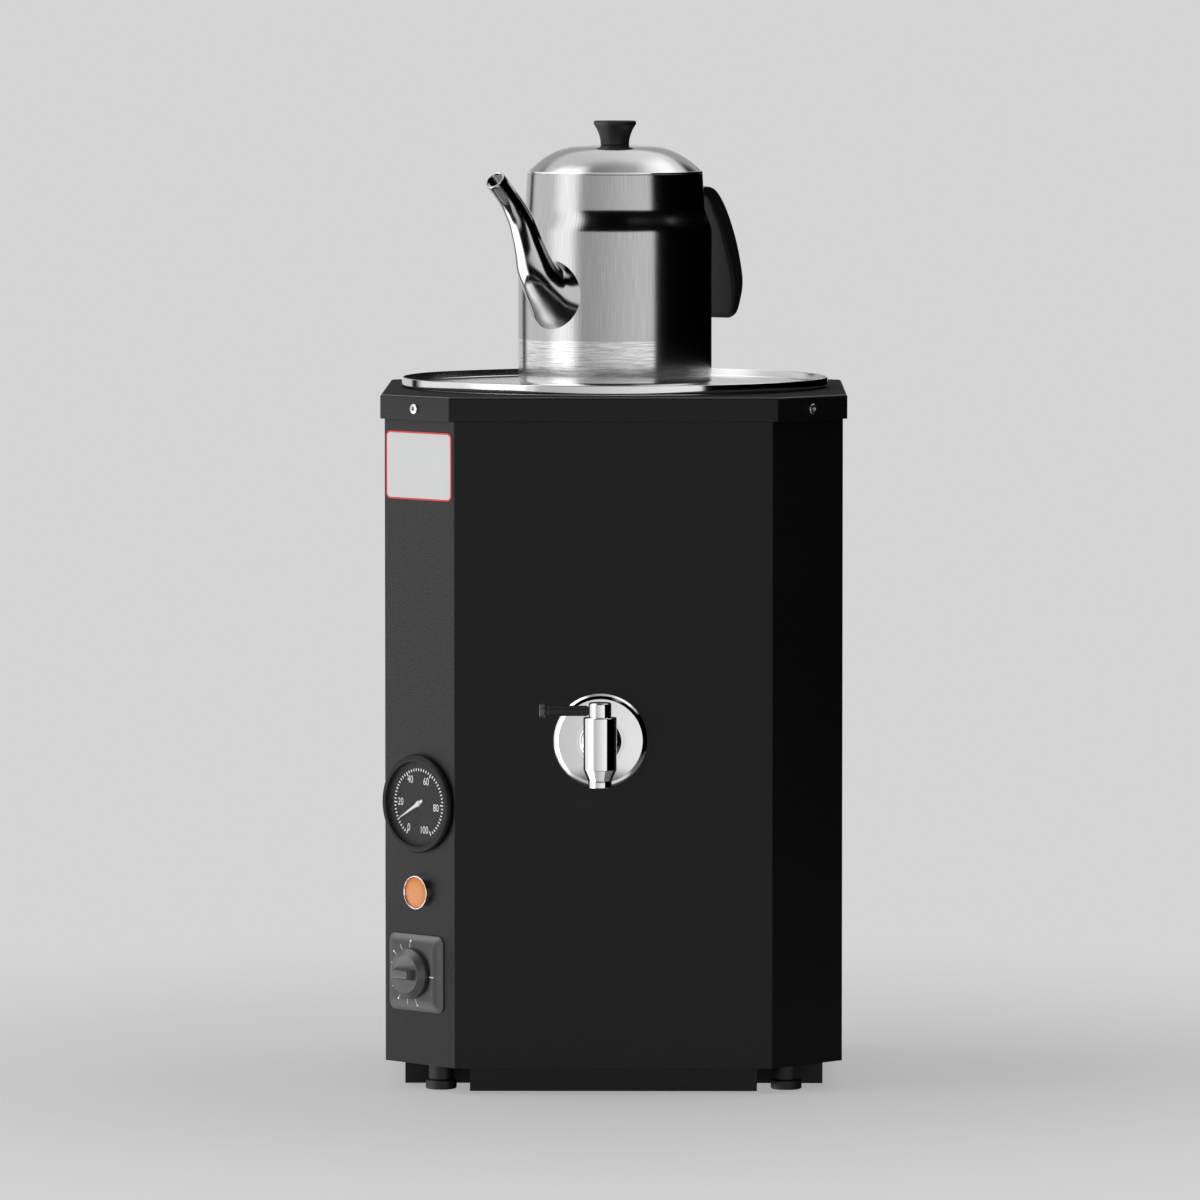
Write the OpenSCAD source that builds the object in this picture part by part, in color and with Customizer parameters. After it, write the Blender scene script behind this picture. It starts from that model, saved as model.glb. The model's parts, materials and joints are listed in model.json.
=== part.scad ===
// Electric tea urn with a teapot that stands on its lid.
// The urn stands on z = 0 and faces -Y. Lengths are in millimetres.

/* [Casing] */
// Width of the casing across its flat sides
casing_w = 310; // [300:1:330]
// Length taken off each side at an upright corner
corner_cut = 48; // [47:0.5:56]
// Height of the casing wall
casing_h = 452; // [440:1:480]
// Thickness of the casing sheet
sheet_t = 1.2; // [0.8:0.1:1.6]
// Depth of the top cover's skirt
cover_skirt = 16.7; // [14:0.1:20]
// Diameter of a cover rivet's head
rivet_d = 7; // [6:0.1:8]

/* [Base and feet] */
// Height of the feet
foot_h = 18; // [14:0.5:26]
// Diameter of a foot's base
foot_d = 21; // [19:0.5:24]
// Height of a foot's base
foot_base_h = 6.5; // [5:0.5:8]
// Diameter of a foot's neck
foot_neck_d = 17; // [14:0.5:18]
// Distance of a foot's axis from the casing's sides
foot_in = 38; // [34:1:42]
// Distance of the base pan's outer walls from the casing's sides
pan_in = 13; // [9:1:23]
// Distance of the base pan's arms from a foot's axis
pan_foot_space = 20; // [17:1:29]
// Gap between the base pan and the ground
pan_lift = 1.1; // [1:0.1:4]
// Thickness of the base plate
base_t = 1.5; // [1:0.1:2.5]

/* [Tank] */
// Space between the tank and the casing's flat sides
tank_space = 21; // [19:0.5:27]
// Thickness of the tank wall
tank_t = 1; // [0.8:0.1:1.5]
// Height of the tank floor above the casing's lower edge
tank_floor_h = 132; // [126:1:140]
// Width of the flange that hangs the tank in the cover
tank_flange = 8; // [6:0.5:9]
// Thickness of the insulation round the tank
wool_t = 14; // [8:0.5:15]
// Height of the heating loops above the tank floor
element_h = 70; // [50:1:76]
// Diameter of the heating tube
element_d = 8.5; // [6.5:0.5:9]
// Diameter of the heater's screwed head
element_head_d = 42; // [38:1:48]

/* [Tank lid] */
// Overhang of the lid past the tank's flange
lid_over = 4.5; // [2:0.5:7]
// Height of the lid's rim above its floor
lid_rim_h = 5.1; // [4.8:0.1:10]
// Thickness of the lid
lid_t = 1; // [0.8:0.1:1.5]
// Diameter of the steam hole under the teapot
steam_d = 100; // [80:1:110]
// Depth of the ring that centres the lid in the tank
lid_ring_h = 10; // [6:0.5:15]

/* [Tap] */
// Distance of the tap from the casing's middle, to the left
tap_x = 8.5; // [0:0.5:20]
// Height of the tap above the casing's lower edge
tap_h = 222; // [215:1:260]
// Distance from the casing to the barrel's axis
tap_reach = 50; // [44:1:60]
// Diameter of the wall flange
tap_flange_d = 63.5; // [56:0.5:70]
// Height of the wall flange's dome
tap_flange_h = 6.5; // [5:0.5:9]
// Diameter of the collar in front of the flange
tap_collar_d = 29; // [26:0.5:34]
// Diameter of the shank
tap_shank_d = 20; // [18:0.5:22]
// Diameter of the barrel
barrel_d = 22.4; // [21:0.1:26]
// Height of the barrel above the shank's axis
barrel_up = 19.7; // [17:0.1:24]
// Depth of the barrel's straight part below the shank's axis
barrel_down = 15.4; // [14.5:0.1:18]
// Length of the nozzle's taper
nozzle_l = 12.1; // [8:0.1:18]
// Diameter of the nozzle's end
nozzle_d = 15; // [13:0.1:17]
// Diameter of the waterway
water_d = 10; // [8:0.1:11]
// Diameter of the valve plug
plug_d = 14; // [13:0.1:15]
// Diameter of the spindle's cap
cap_d = 15.3; // [14.4:0.1:18]
// Height of the spindle's cap
cap_h = 9.9; // [9:0.1:12]
// Reach of the lever from the spindle's axis
lever_l = 40.5; // [34:0.5:50]
// Diameter of the lever
lever_d = 7; // [6:0.1:7.6]
// Diameter of the lever's end cap
lever_end_d = 9.3; // [7.8:0.1:9.8]
// Length of the lever's end cap
lever_end_l = 4; // [3:0.1:8]

/* [Controls] */
// Height of the thermometer above the casing's lower edge
thermometer_h = 177; // [172:1:185]
// Diameter of the thermometer's bezel
bezel_d = 66.4; // [65:0.1:70]
// Thickness of the thermometer's bezel
bezel_h = 6; // [5.4:0.1:8]
// Diameter of the dial that shows
dial_d = 58; // [54:0.5:59]
// Depth of the thermometer's case
case_l = 30; // [24:1:32]
// Length of the thermometer's needle
needle_l = 22; // [18:0.5:26]
// Height of the pilot lamp above the casing's lower edge
lamp_h = 117; // [112:1:120]
// Diameter of the pilot lamp
lamp_d = 23; // [20:0.5:26]
// Height of the pilot lamp's ring
lamp_ring_h = 4.7; // [3.5:0.1:7]
// Height of the thermostat above the casing's lower edge
thermostat_h = 62; // [56:1:66]
// Width of the thermostat's plate
plate_w = 52; // [48:0.5:56]
// Thickness of the thermostat's plate
plate_t = 5.5; // [4.5:0.1:7]
// Diameter of the thermostat's knob
knob_d = 33.8; // [32:0.1:38]
// Diameter of the knob's face
knob_face_d = 25.2; // [22:0.1:27]
// Height of the knob up to its face
knob_h = 7; // [6:0.1:9]
// Height of the knob's grip bar
grip_h = 7; // [5:0.1:9]
// Depth of the thermostat's body
thermostat_l = 28; // [22:1:32]

/* [Cable inlet] */
// Height of the cable inlet above the casing's lower edge
gland_h = 40; // [34:1:60]
// Distance of the cable inlet from the casing's middle, to the right
gland_x = 60; // [0:1:75]
// Diameter of the cable inlet's bore
gland_bore_d = 9; // [7:0.1:10]
// Length of the cable inlet outside the casing
gland_l = 16; // [14:0.5:24]

/* [Teapot] */
// Diameter of the teapot
pot_d = 133.2; // [126:0.1:140]
// Diameter of the teapot's mouth
mouth_d = 120.6; // [114:0.1:122]
// Height of the teapot's wall
pot_h = 145; // [142:0.5:156]
// Height of the shoulder's lower end above the teapot's base
shoulder_low = 104; // [96:0.5:106]
// Height of the shoulder's upper end above the teapot's base
shoulder_high = 123; // [117:0.5:124]
// Radius of the teapot's lower edge
pot_edge_r = 5; // [3:0.5:8]
// Thickness of the teapot's wall
pot_t = 1; // [0.8:0.1:1.4]
// Turn of the spout from the front, to the left
spout_turn = 41; // [0:1:60]
// Thickness of the spout's wall
spout_t = 1; // [0.8:0.1:1.4]
// Width of the handle
handle_w = 27; // [22:0.5:32]
// Height of the teapot lid's dome above the mouth
dome_h = 19.3; // [15:0.1:26]
// Diameter of the flat top of the dome
dome_flat_d = 56; // [40:1:60]
// Diameter of the lid's knob at its foot
lid_knob_foot_d = 19.6; // [16:0.1:22]
// Diameter of the lid's knob at its top
lid_knob_d = 29.2; // [24:0.1:32]
// Height of the lid's knob
lid_knob_h = 16.5; // [14:0.1:22]

/* [Hidden] */
$fn = 96;

// Colours of the finishes
coat_black = "#2a2a2c";
plastic_black = "#1c1c1e";
plastic_grey = "#4a4a4c";
steel = "#c6c8ca";
chrome = "#dcdee0";
brass = "#b99a52";
rubber_black = "#202022";
lamp_orange = "#e8963e";
glass_clear = "#dfe8ee";
needle_white = "#f4f4f2";
wool_yellow = "#d9cfa6";

// Clearances
running_fit = 0.05;
seat_gap = 0.1;
weld_gap = 0.05;
pass_gap = 0.4;
cover_gap = 0.5;
wool_gap = 0.3;
// Overlap of a cutting body past the face that it cuts, and of two bodies that make one piece
cut = 1;
join = 0.2;

// Plan of the casing, and the levels of its stack
half_w = casing_w / 2;
corner_mid = half_w - corner_cut / 2;
corner_face = (2 * half_w - corner_cut) / sqrt(2);
casing_z = foot_h;
casing_top = casing_z + casing_h;
cover_top = casing_top + sheet_t;
skirt_gap = sheet_t + cover_gap;
rear_return = 20;
rear_w = 2 * (half_w - corner_cut);
panel_edge = 2;
rear_screw_r = 2;
rear_screw_l = 8;
rear_head_r = 4;
rear_head_h = 2.2;
rivet_r = 2;
rivet_hole_r = 1.1;
rivet_head_h = 1.5;
rivet_tail = 3;
rivet_tail_r = 2.8;
rivet_z = cover_top - 9;
base_rim_h = 12;
base_hole_r = 60;
foot_at = half_w - foot_in;
pan_reach = half_w - pan_in;
pan_arm = foot_at - pan_foot_space;
foot_screw_r = 2;
foot_head_r = 3.6;
foot_head_h = 2.6;
foot_seat = foot_base_h - 2;
nut_h = 3.2;
nut_w = 7;

tank_r = half_w - tank_space;
tank_in_r = tank_r - tank_t;
tank_z = casing_z + tank_floor_h;
tank_floor = tank_z + tank_t;
lid_z = cover_top + tank_t;
lid_floor = lid_z + lid_t;
lid_rim_r = tank_r + tank_flange + lid_over;
steam_lip_h = 6;

// Heater: a screwed head with two tall loops
element_r = element_d / 2;
head_r = element_head_d / 2;
head_flange_r = head_r + 7;
head_flange_h = 5;
element_gasket_t = 2;
element_nut_h = 8;
head_z = tank_floor + element_gasket_t;
head_tail = 20;
loop_half = 9.5;
loop_apart = 20;
pin_r = 1.8;
pin_l = 14;
pin_in = 4;

// Tap: the shank runs along Y, the barrel stands upright
tap_z = casing_z + tap_h;
shank_r = tap_shank_d / 2;
collar_l = 6.5;
neck_r = 9;
water_r = water_d / 2;
plug_r = plug_d / 2;
plug_down = 12;
barrel_r = barrel_d / 2;
cap_r = cap_d / 2;
lever_r = lever_d / 2;
lever_up = lever_r + 0.8;
lever_pin_r = 2;
lever_pin_l = 4.5;
lever_neck_l = 1.5;
lever_neck_r = 2.6;
lever_edge = 0.6;
lever_end_wall = 1;
seal_t = 1.4;
seal_up = [8, 14];
socket_r = shank_r + 4;
socket_out = half_w - sheet_t - 4;
socket_in = sqrt(tank_r * tank_r - tap_x * tap_x) - 12;
shank_end = socket_in + 2;

// Thermometer, pilot lamp and thermostat on the left front corner
thermometer_z = casing_z + thermometer_h;
dial_r = dial_d / 2;
case_r = dial_r + 1;
case_wall = 1.2;
dial_t = 0.8;
dial_gap = 0.3;
glass_t = 1.2;
bezel_lip = 1.2;
stem_r = 3.5;
well_r = 5.5;
well_out = 6;
well_in = 46;
well_end = 2;
stem_gap = 0.5;
stem_front = 4;
wall_depth = corner_face - tank_r;
needle_lift = 0.6;
needle_axle_r = 0.8;
needle_axle_l = 25;
needle_hub_r = 2;
needle_tail = 5;
needle_w = 1.9;
needle_t = 0.8;
needle_rest = 210;
lamp_z = casing_z + lamp_h;
lamp_wall = 1.5;
lamp_floor = 0.8;
lamp_body_r = 6;
lamp_body_l = 26;
lamp_nut_h = 4;
lamp_dome = 1.4;
lamp_tab = [0.8, 4.8, 8];
lamp_tab_at = 3;
thermostat_z = casing_z + thermostat_h;
thermostat_u = -2.5;
thermostat_w = 34;
plate_slope = 5.5;
plate_corner = 5;
plate_edge = 1;
shaft_r = 3;
shaft_in = 15;
knob_gap = 0.5;
knob_skirt = 2.5;
knob_wall = 1.5;
screw_apart = 11.5;
screw_r = 1.8;
screw_head_r = 3;
screw_head_h = 2;
screw_l = 8;
screw_seat = plate_t - screw_head_h - 0.2;
capillary_r = 1;
capillary_u = -14;
capillary_bend = 12;
capillary_in = 4;
pocket_at = tank_r - 22;
pocket_r = 4.5;
pocket_in_r = 3.1;
pocket_l = 32;
pocket_tail = 4;
pocket_end = 1.5;
bulb_r = 3;
bulb_gap = 2.5;
terminal_size = [66, 22, 18];
terminal_at = [20, 82];

// Cable inlet
gland_z = casing_z + gland_h;
gland_r = gland_bore_d / 2;
gland_thread_r = gland_r + 3.5;
gland_flange_r = gland_thread_r + 3;
gland_nut_h = 5;
gland_nut_w = 2 * gland_thread_r + 7;
gland_tail = 3;
gland_hex_h = 5;
gland_nose = 4;

// Teapot
pot_z = lid_floor;
pot_r = pot_d / 2;
mouth_r = mouth_d / 2;
neck_drop = 1.2;
pot_top = pot_z + pot_h;
dome_rim_h = 1.4;
dome_t = 1;
dome_skirt = 8;
dome_fall = 1.5;
crown_h = 1.5;
dome_flat_r = dome_flat_d / 2;
dome_top = pot_top + dome_h;
strainer_r = 3;
strainer_ring_r = 9;
lid_screw_r = 2;
lid_screw_l = 10;
bracket_w = 14;
bracket_t = 3;
bracket_in = 12;
handle_screw_r = 1.6;
handle_screw_head_r = 2.8;
handle_screw_head_h = 1.2;
handle_screw_seat = bracket_t / 2 + seat_gap + 0.4;

// Stations of the spout: distance from the pot's wall, height above its base, outside radius
spout_stations = [
    [0.2, 63.1, 23.6], [3, 64, 20.8], [7, 68, 17.4], [12, 75, 14.8], [17.2, 84, 12.8],
    [22, 97, 10.4], [28.5, 111.5, 9], [35.5, 121.5, 8], [43, 130, 7.3], [56, 142, 7.1]
];
// Distance from the pot's wall over which the spout's rings turn from the wall to the path
spout_root = 28;
// Stations of the handle: distance from the pot's wall, height above its base, half its thickness
handle_stations = [
    [4, 131, 2.9], [13.5, 131.2, 3.4], [21.5, 128, 5.2], [29.5, 118, 6.2], [38, 102, 6.3],
    [44.3, 85, 6.2], [48.3, 68, 5.6], [47, 55.5, 4.2], [44, 45, 2.2], [43.2, 43.4, 0.8]
];
strainer_up = 64;

// The origin lies under the middle of the whole urn, from the tap to the cable inlet
front_reach = half_w + tap_reach + barrel_r;
rear_reach = half_w + sheet_t + gland_l;
origin_y = (front_reach - rear_reach) / 2;

// Outline of the casing moved outwards by o, with the corner faces moved as far as the sides
function plan(o) =
    let (h = half_w + o, c = corner_cut + o * (2 - sqrt(2)), k = h - c)
    [[k, -h], [h, -k], [h, k], [k, h], [-k, h], [-h, k], [-h, -k], [-k, -h]];

// Cross-shaped outline of the base pan moved outwards by o
function pan_plan(o) =
    let (p = pan_reach + o, a = pan_arm + o)
    concat(
        [[a, -p], [a, -a], [p, -a], [p, a], [a, a], [a, p]],
        [[-a, p], [-a, a], [-p, a], [-p, -a], [-a, -a], [-a, -p]]
    );

// Points of an arc about (x, y) from angle a to angle b
function arc(x, y, r, a, b, steps = 6) =
    [for (i = [0:steps]) let (t = a + (b - a) * i / steps) [x + r * cos(t), y + r * sin(t)]];

// Smooth rise from 0 to 1
function ease(t) = t * t * (3 - 2 * t);

// Outside radius of the pot at height h above its base: a straight wall, an S-shaped shoulder, a tapered neck
function pot_radius(h) =
    h < shoulder_low ? pot_r
    : h < shoulder_high
        ? pot_r + (mouth_r + neck_drop - pot_r) * ease((h - shoulder_low) / (shoulder_high - shoulder_low))
    : mouth_r + neck_drop * (pot_h - h) / (pot_h - shoulder_high);

// Heights at which the pot's outline above its straight wall is drawn
function pot_heights() =
    concat([for (i = [0:12]) shoulder_low + (shoulder_high - shoulder_low) * i / 12], [pot_h]);

// Outline of the pot moved inwards by o, from its base to its mouth
function pot_side(o) =
    concat(
        arc(pot_r - pot_edge_r, pot_edge_r, pot_edge_r - o, -90, 0),
        [for (h = pot_heights()) [pot_radius(h) - o, h]]
    );

// Smooth curve through a list of points, with a given number of steps between two of them
function spline_at(p0, p1, p2, p3, t) =
    0.5 * (2 * p1 + (p2 - p0) * t + (2 * p0 - 5 * p1 + 4 * p2 - p3) * t * t
        + (3 * p1 - p0 - 3 * p2 + p3) * t * t * t);
function smooth(p, steps) =
    let (last = len(p) - 1)
    concat(
        [for (i = [0:last - 1], s = [0:steps - 1])
            spline_at(p[max(i - 1, 0)], p[i], p[i + 1], p[min(i + 2, last)], s / steps)],
        [p[last]]
    );

// Unit direction of a path of [out, up] points at point i
function path_dir(p, i) =
    let (a = p[max(i - 1, 0)], b = p[min(i + 1, len(p) - 1)], d = [b[0] - a[0], b[1] - a[1]])
    d / norm(d);

// Height of a rounded-box section at angle a: a circle for power 2, squarer above that
function box_cos(a, power) = sign(cos(a)) * pow(abs(cos(a)), 2 / power);
function box_sin(a, power) = sign(sin(a)) * pow(abs(sin(a)), 2 / power);

// Rings along a path of [out, up, half thickness] points, each square to the path
function path_rings(p, half_width, power, sides) =
    [for (i = [0:len(p) - 1])
        let (d = path_dir(p, i), r = p[i][2])
        [for (j = [0:sides - 1])
            let (a = 360 * j / sides, s = r * box_cos(a, power))
            [p[i][0] - d[1] * s, half_width * box_sin(a, power), p[i][1] + d[0] * s]]];

// Share of the pot's wall in a spout ring at a distance from it: 1 at the wall, 0 beyond the root
function root_share(out) = ease(max(0, min(1, 1 - out / spout_root)));

// Rings of the spout a given distance inside its skin: upright and bent round the pot at its wall, square to
// the path beyond the root
function spout_rings(p, inset, sides) =
    [for (i = [0:len(p) - 1])
        let (
            share = root_share(p[i][0]),
            way = path_dir(p, i) * (1 - share) + [share, 0],
            d = way / norm(way),
            r = p[i][2] - inset
        )
        [for (j = [0:sides - 1])
            let (a = 360 * j / sides, s = r * cos(a), w = r * sin(a), bend = sqrt(pot_r ^ 2 - w ^ 2) - pot_r)
            [p[i][0] - d[1] * s + share * bend, w, p[i][1] + d[0] * s]]];

// Closed skin over rings that all have the same number of points
module skin(rings) {
    count = len(rings);
    sides = len(rings[0]);
    points = [for (ring = rings) each ring];
    walls = [for (i = [0:count - 2], j = [0:sides - 1])
        let (a = i * sides + j, b = i * sides + (j + 1) % sides)
        each [[a, b, b + sides], [a, b + sides, a + sides]]];
    start = [for (j = [1:sides - 2]) [0, j + 1, j]];
    end = [for (j = [1:sides - 2]) let (e = (count - 1) * sides) [e, e + j, e + j + 1]];
    polyhedron(points, concat(walls, start, end));
}

// Hollow skin: rings of the outside from first to last, then those of the bore back again, joined in a loop
module tube_skin(outside, bore) {
    rings = concat(outside, [for (i = [len(bore) - 1:-1:0]) bore[i]]);
    count = len(rings);
    sides = len(rings[0]);
    points = [for (ring = rings) each ring];
    faces = [for (i = [0:count - 1], j = [0:sides - 1])
        let (k = (i + 1) % count, n = (j + 1) % sides)
        let (a = i * sides + j, b = i * sides + n, c = k * sides + n, d = k * sides + j)
        each [[a, b, c], [a, c, d]]];
    polyhedron(points, faces);
}

// Places and frames. A panel frame has x to the right, y up and z out of the panel.
module centred() { translate([0, origin_y, 0]) children(); }
module on_corner(u, z, turn = 0) {
    rotate(turn)
        translate([-corner_mid, -corner_mid, z])
            rotate(-45)
                rotate([90, 0, 0])
                    translate([u, 0, 0])
                        children();
}
module on_front(x, z) { translate([x, -half_w, z]) rotate([90, 0, 0]) children(); }
module on_rear(x, z) { translate([x, half_w + sheet_t, z]) rotate([-90, 0, 0]) children(); }
module at_barrel() { translate([-tap_x, -half_w - tap_reach, tap_z]) children(); }
module on_base(h = 0) { translate([0, 0, pot_z + h]) children(); }
module spout_plane() { on_base() rotate(270 - spout_turn) children(); }
module handle_plane() { on_base() rotate(90 - spout_turn) children(); }

// Short forms that repeat
module tube(r_out, r_in, h) {
    difference() {
        cylinder(r = r_out, h = h);
        translate([0, 0, -cut]) cylinder(r = r_in, h = h + 2 * cut);
    }
}
module hex(across, h) { cylinder(d = across / cos(30), h = h, $fn = 6); }
module shaft_hole(r, from, to) { translate([0, 0, from]) cylinder(r = r, h = to - from); }
module rounded_plate(w, r, h) { linear_extrude(h) offset(r, $fn = 32) square(w - 2 * r, center = true); }
module at_feet() { for (x = [-1, 1], y = [-1, 1]) translate([x * foot_at, y * foot_at, 0]) children(); }
module at_rear_screws() {
    for (x = [-1, 1], z = [0.08, 0.5, 0.9])
        on_rear(x * (rear_w - rear_return) / 2, casing_z + casing_h * z) children();
}
module at_thermostat_screws() { for (s = [-1, 1]) translate([s * screw_apart, 0, 0]) children(); }
module at_loops() {
    for (x = [-1, 1], y = [-1, 1]) translate([x * loop_apart / 2, y * loop_half, 0]) children();
}

// Folded outer wall, open at the back behind the rear panel
module casing_shell() {
    color(coat_black) centred() difference() {
        translate([0, 0, casing_z]) linear_extrude(casing_h) difference() {
            polygon(plan(0));
            polygon(plan(-sheet_t));
        }
        translate([rear_return - rear_w / 2, 0, casing_z + rear_return])
            cube([rear_w - 2 * rear_return, half_w + cut, casing_h - 2 * rear_return]);
        on_front(-tap_x, tap_z) shaft_hole(shank_r + pass_gap, -sheet_t - cut, cut);
        on_corner(0, thermometer_z) shaft_hole(case_r + pass_gap, -sheet_t - cut, cut);
        on_corner(0, lamp_z) shaft_hole(lamp_body_r + seat_gap, -sheet_t - cut, cut);
        on_corner(thermostat_u, thermostat_z) {
            shaft_hole(shaft_r + pass_gap, -sheet_t - cut, cut);
            at_thermostat_screws() shaft_hole(screw_r + seat_gap, -sheet_t - cut, cut);
        }
        for (k = [0:3]) on_corner(0, rivet_z, 90 * k) shaft_hole(rivet_r + seat_gap, -sheet_t - cut, cut);
        at_rear_screws() shaft_hole(rear_screw_r + seat_gap, -2 * sheet_t - cut, cut);
    }
}

// Flat panel screwed over the open back
module rear_panel() {
    color(coat_black) centred() difference() {
        translate([panel_edge - rear_w / 2, half_w, casing_z + panel_edge])
            cube([rear_w - 2 * panel_edge, sheet_t, casing_h - 2 * panel_edge]);
        at_rear_screws() shaft_hole(rear_screw_r + seat_gap, -sheet_t - cut, cut);
        on_rear(gland_x, gland_z) shaft_hole(gland_thread_r + seat_gap, -sheet_t - cut, cut);
    }
}

// Pan-head screws of the rear panel
module rear_screws() {
    edge = 1.4;
    color(chrome) centred() at_rear_screws() {
        shaft_hole(rear_screw_r, -rear_screw_l, join);
        rotate_extrude() polygon(concat(
            [[0, 0], [rear_head_r, 0]],
            arc(rear_head_r - edge, rear_head_h - edge, edge, 0, 90, 4),
            [[0, rear_head_h]]
        ));
    }
}

// Top cover with a folded skirt and a round opening for the tank
module top_cover() {
    color(coat_black) centred() difference() {
        translate([0, 0, cover_top - cover_skirt])
            linear_extrude(cover_skirt) polygon(plan(skirt_gap + sheet_t));
        translate([0, 0, cover_top - cover_skirt - cut])
            linear_extrude(cover_skirt - sheet_t + cut) polygon(plan(skirt_gap));
        translate([0, 0, casing_top - cut]) cylinder(r = tank_r + seat_gap, h = sheet_t + 2 * cut);
        for (k = [0:3])
            on_corner(0, rivet_z, 90 * k) shaft_hole(rivet_r + seat_gap, 0, skirt_gap + sheet_t + cut);
    }
}

// Domed blind rivets through the cover's skirt, each with its open middle
module cover_rivets() {
    dome_r = rivet_d / 2;
    seat = skirt_gap + sheet_t;
    color(chrome) centred() for (k = [0:3]) on_corner(0, rivet_z, 90 * k) difference() {
        union() {
            shaft_hole(rivet_r, -sheet_t - rivet_tail, seat + join);
            translate([0, 0, seat]) rotate_extrude() polygon([
                [0, 0], [dome_r, 0], [dome_r * 0.94, rivet_head_h * 0.4], [dome_r * 0.7, rivet_head_h * 0.8],
                [dome_r * 0.4, rivet_head_h], [0, rivet_head_h]
            ]);
            shaft_hole(rivet_tail_r, -sheet_t - rivet_tail, -sheet_t);
        }
        shaft_hole(rivet_hole_r, -sheet_t - rivet_tail - cut, seat + rivet_head_h + cut);
    }
}

// Tray-shaped floor of the casing
module base_plate() {
    color(coat_black) centred() difference() {
        translate([0, 0, casing_z]) linear_extrude(base_rim_h) polygon(plan(-sheet_t - seat_gap));
        translate([0, 0, casing_z + base_t])
            linear_extrude(base_rim_h) polygon(plan(-sheet_t - seat_gap - base_t));
        translate([0, 0, casing_z - cut]) cylinder(r = base_hole_r, h = base_t + 2 * cut);
        at_feet() shaft_hole(foot_screw_r + seat_gap, casing_z - cut, casing_z + base_t + cut);
    }
}

// Shallow cross-shaped pan between the feet
module base_pan() {
    color(coat_black) centred() difference() {
        translate([0, 0, pan_lift]) linear_extrude(casing_z - pan_lift) polygon(pan_plan(0));
        translate([0, 0, pan_lift + sheet_t]) linear_extrude(casing_z) polygon(pan_plan(-sheet_t));
    }
}

// Turned foot with a screw recess in its base
module foot(x, y) {
    foot_r = foot_d / 2;
    neck = foot_neck_d / 2;
    edge = 1;
    color(plastic_black) centred() translate([x * foot_at, y * foot_at, 0]) difference() {
        rotate_extrude() polygon(concat(
            [[0, 0]],
            arc(foot_r - edge, edge, edge, -90, 0, 4),
            arc(foot_r - edge, foot_base_h - edge, edge, 0, 90, 4),
            [[neck, foot_base_h], [neck, casing_z], [0, casing_z]]
        ));
        shaft_hole(foot_screw_r + seat_gap, -cut, casing_z + cut);
        shaft_hole(foot_head_r + seat_gap, -cut, foot_seat);
    }
}

// Screws that hold the feet to the base plate
module foot_screws() {
    color(chrome) centred() at_feet() {
        shaft_hole(foot_screw_r, foot_seat - join, casing_z + base_t + nut_h + foot_screw_r / 2);
        shaft_hole(foot_head_r, foot_seat - foot_head_h, foot_seat);
    }
}

// Nuts of the foot screws
module foot_nuts() {
    color(chrome) centred() at_feet() translate([0, 0, casing_z + base_t]) difference() {
        hex(nut_w, nut_h);
        shaft_hole(foot_screw_r + running_fit, -cut, nut_h + cut);
    }
}

// Round wall of the tank, hung by its flange in the top cover
module water_tank() {
    color(steel) centred() difference() {
        union() {
            shaft_hole(tank_r, tank_floor, lid_z);
            shaft_hole(tank_r + tank_flange, cover_top, lid_z);
        }
        shaft_hole(tank_in_r, tank_floor - cut, lid_z + cut);
        on_front(-tap_x, tap_z) shaft_hole(socket_r + weld_gap, -half_w, 0);
        on_corner(0, thermometer_z) shaft_hole(well_r + weld_gap, -wall_depth - well_in, 0);
    }
}

// Flat bottom welded under the tank's wall
module tank_bottom() {
    color(steel) centred() difference() {
        shaft_hole(tank_r, tank_z, tank_floor);
        on_corner(capillary_u, tank_z) translate([0, 0, pocket_at - corner_face]) rotate([-90, 0, 0])
            shaft_hole(pocket_r + weld_gap, -cut, tank_t + cut);
        shaft_hole(head_r + seat_gap, tank_z - cut, tank_floor + cut);
    }
}

// Glass-wool jacket round the tank
module tank_insulation() {
    color(wool_yellow) centred() difference() {
        translate([0, 0, tank_z])
            tube(tank_r + wool_gap + wool_t, tank_r + wool_gap, casing_top - tank_z - cover_gap);
        on_front(-tap_x, tap_z) shaft_hole(socket_r + pass_gap, -half_w, 0);
        on_corner(0, thermometer_z) shaft_hole(well_r + pass_gap, -corner_face, 0);
    }
}

// Threaded sleeve in the tank wall that takes the tap
module tap_socket() {
    color(steel) centred() on_front(-tap_x, tap_z) translate([0, 0, socket_in - half_w])
        tube(socket_r, shank_r + running_fit, socket_out - socket_in);
}

// Closed sleeve in the tank wall that takes the thermometer's stem
module thermowell() {
    color(steel) centred() on_corner(0, thermometer_z) difference() {
        shaft_hole(well_r, -wall_depth - well_in, -wall_depth + well_out);
        shaft_hole(stem_r + seat_gap, -wall_depth - well_in + well_end, 0);
    }
}

// Closed sleeve in the tank floor that takes the thermostat's bulb
module bulb_pocket() {
    color(steel) centred() on_corner(capillary_u, tank_z)
        translate([0, 0, pocket_at - corner_face]) rotate([-90, 0, 0]) difference() {
            shaft_hole(pocket_r, -pocket_tail, pocket_l);
            shaft_hole(pocket_in_r, -pocket_tail - cut, pocket_l - pocket_end);
        }
}

// Two tall heating loops with their terminal pins
module heating_tubes() {
    bend_z = tank_floor + element_h - loop_half - element_r;
    color(steel) centred() {
        at_loops() {
            shaft_hole(element_r, head_z - head_tail + pin_in, bend_z);
            shaft_hole(pin_r, head_z - head_tail - pin_l, head_z - head_tail + pin_in + join);
        }
        for (x = [-1, 1])
            translate([x * loop_apart / 2, 0, bend_z])
                rotate([90, 0, 90])
                    rotate_extrude(angle = 180) translate([loop_half, 0]) circle(element_r);
    }
}

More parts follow.
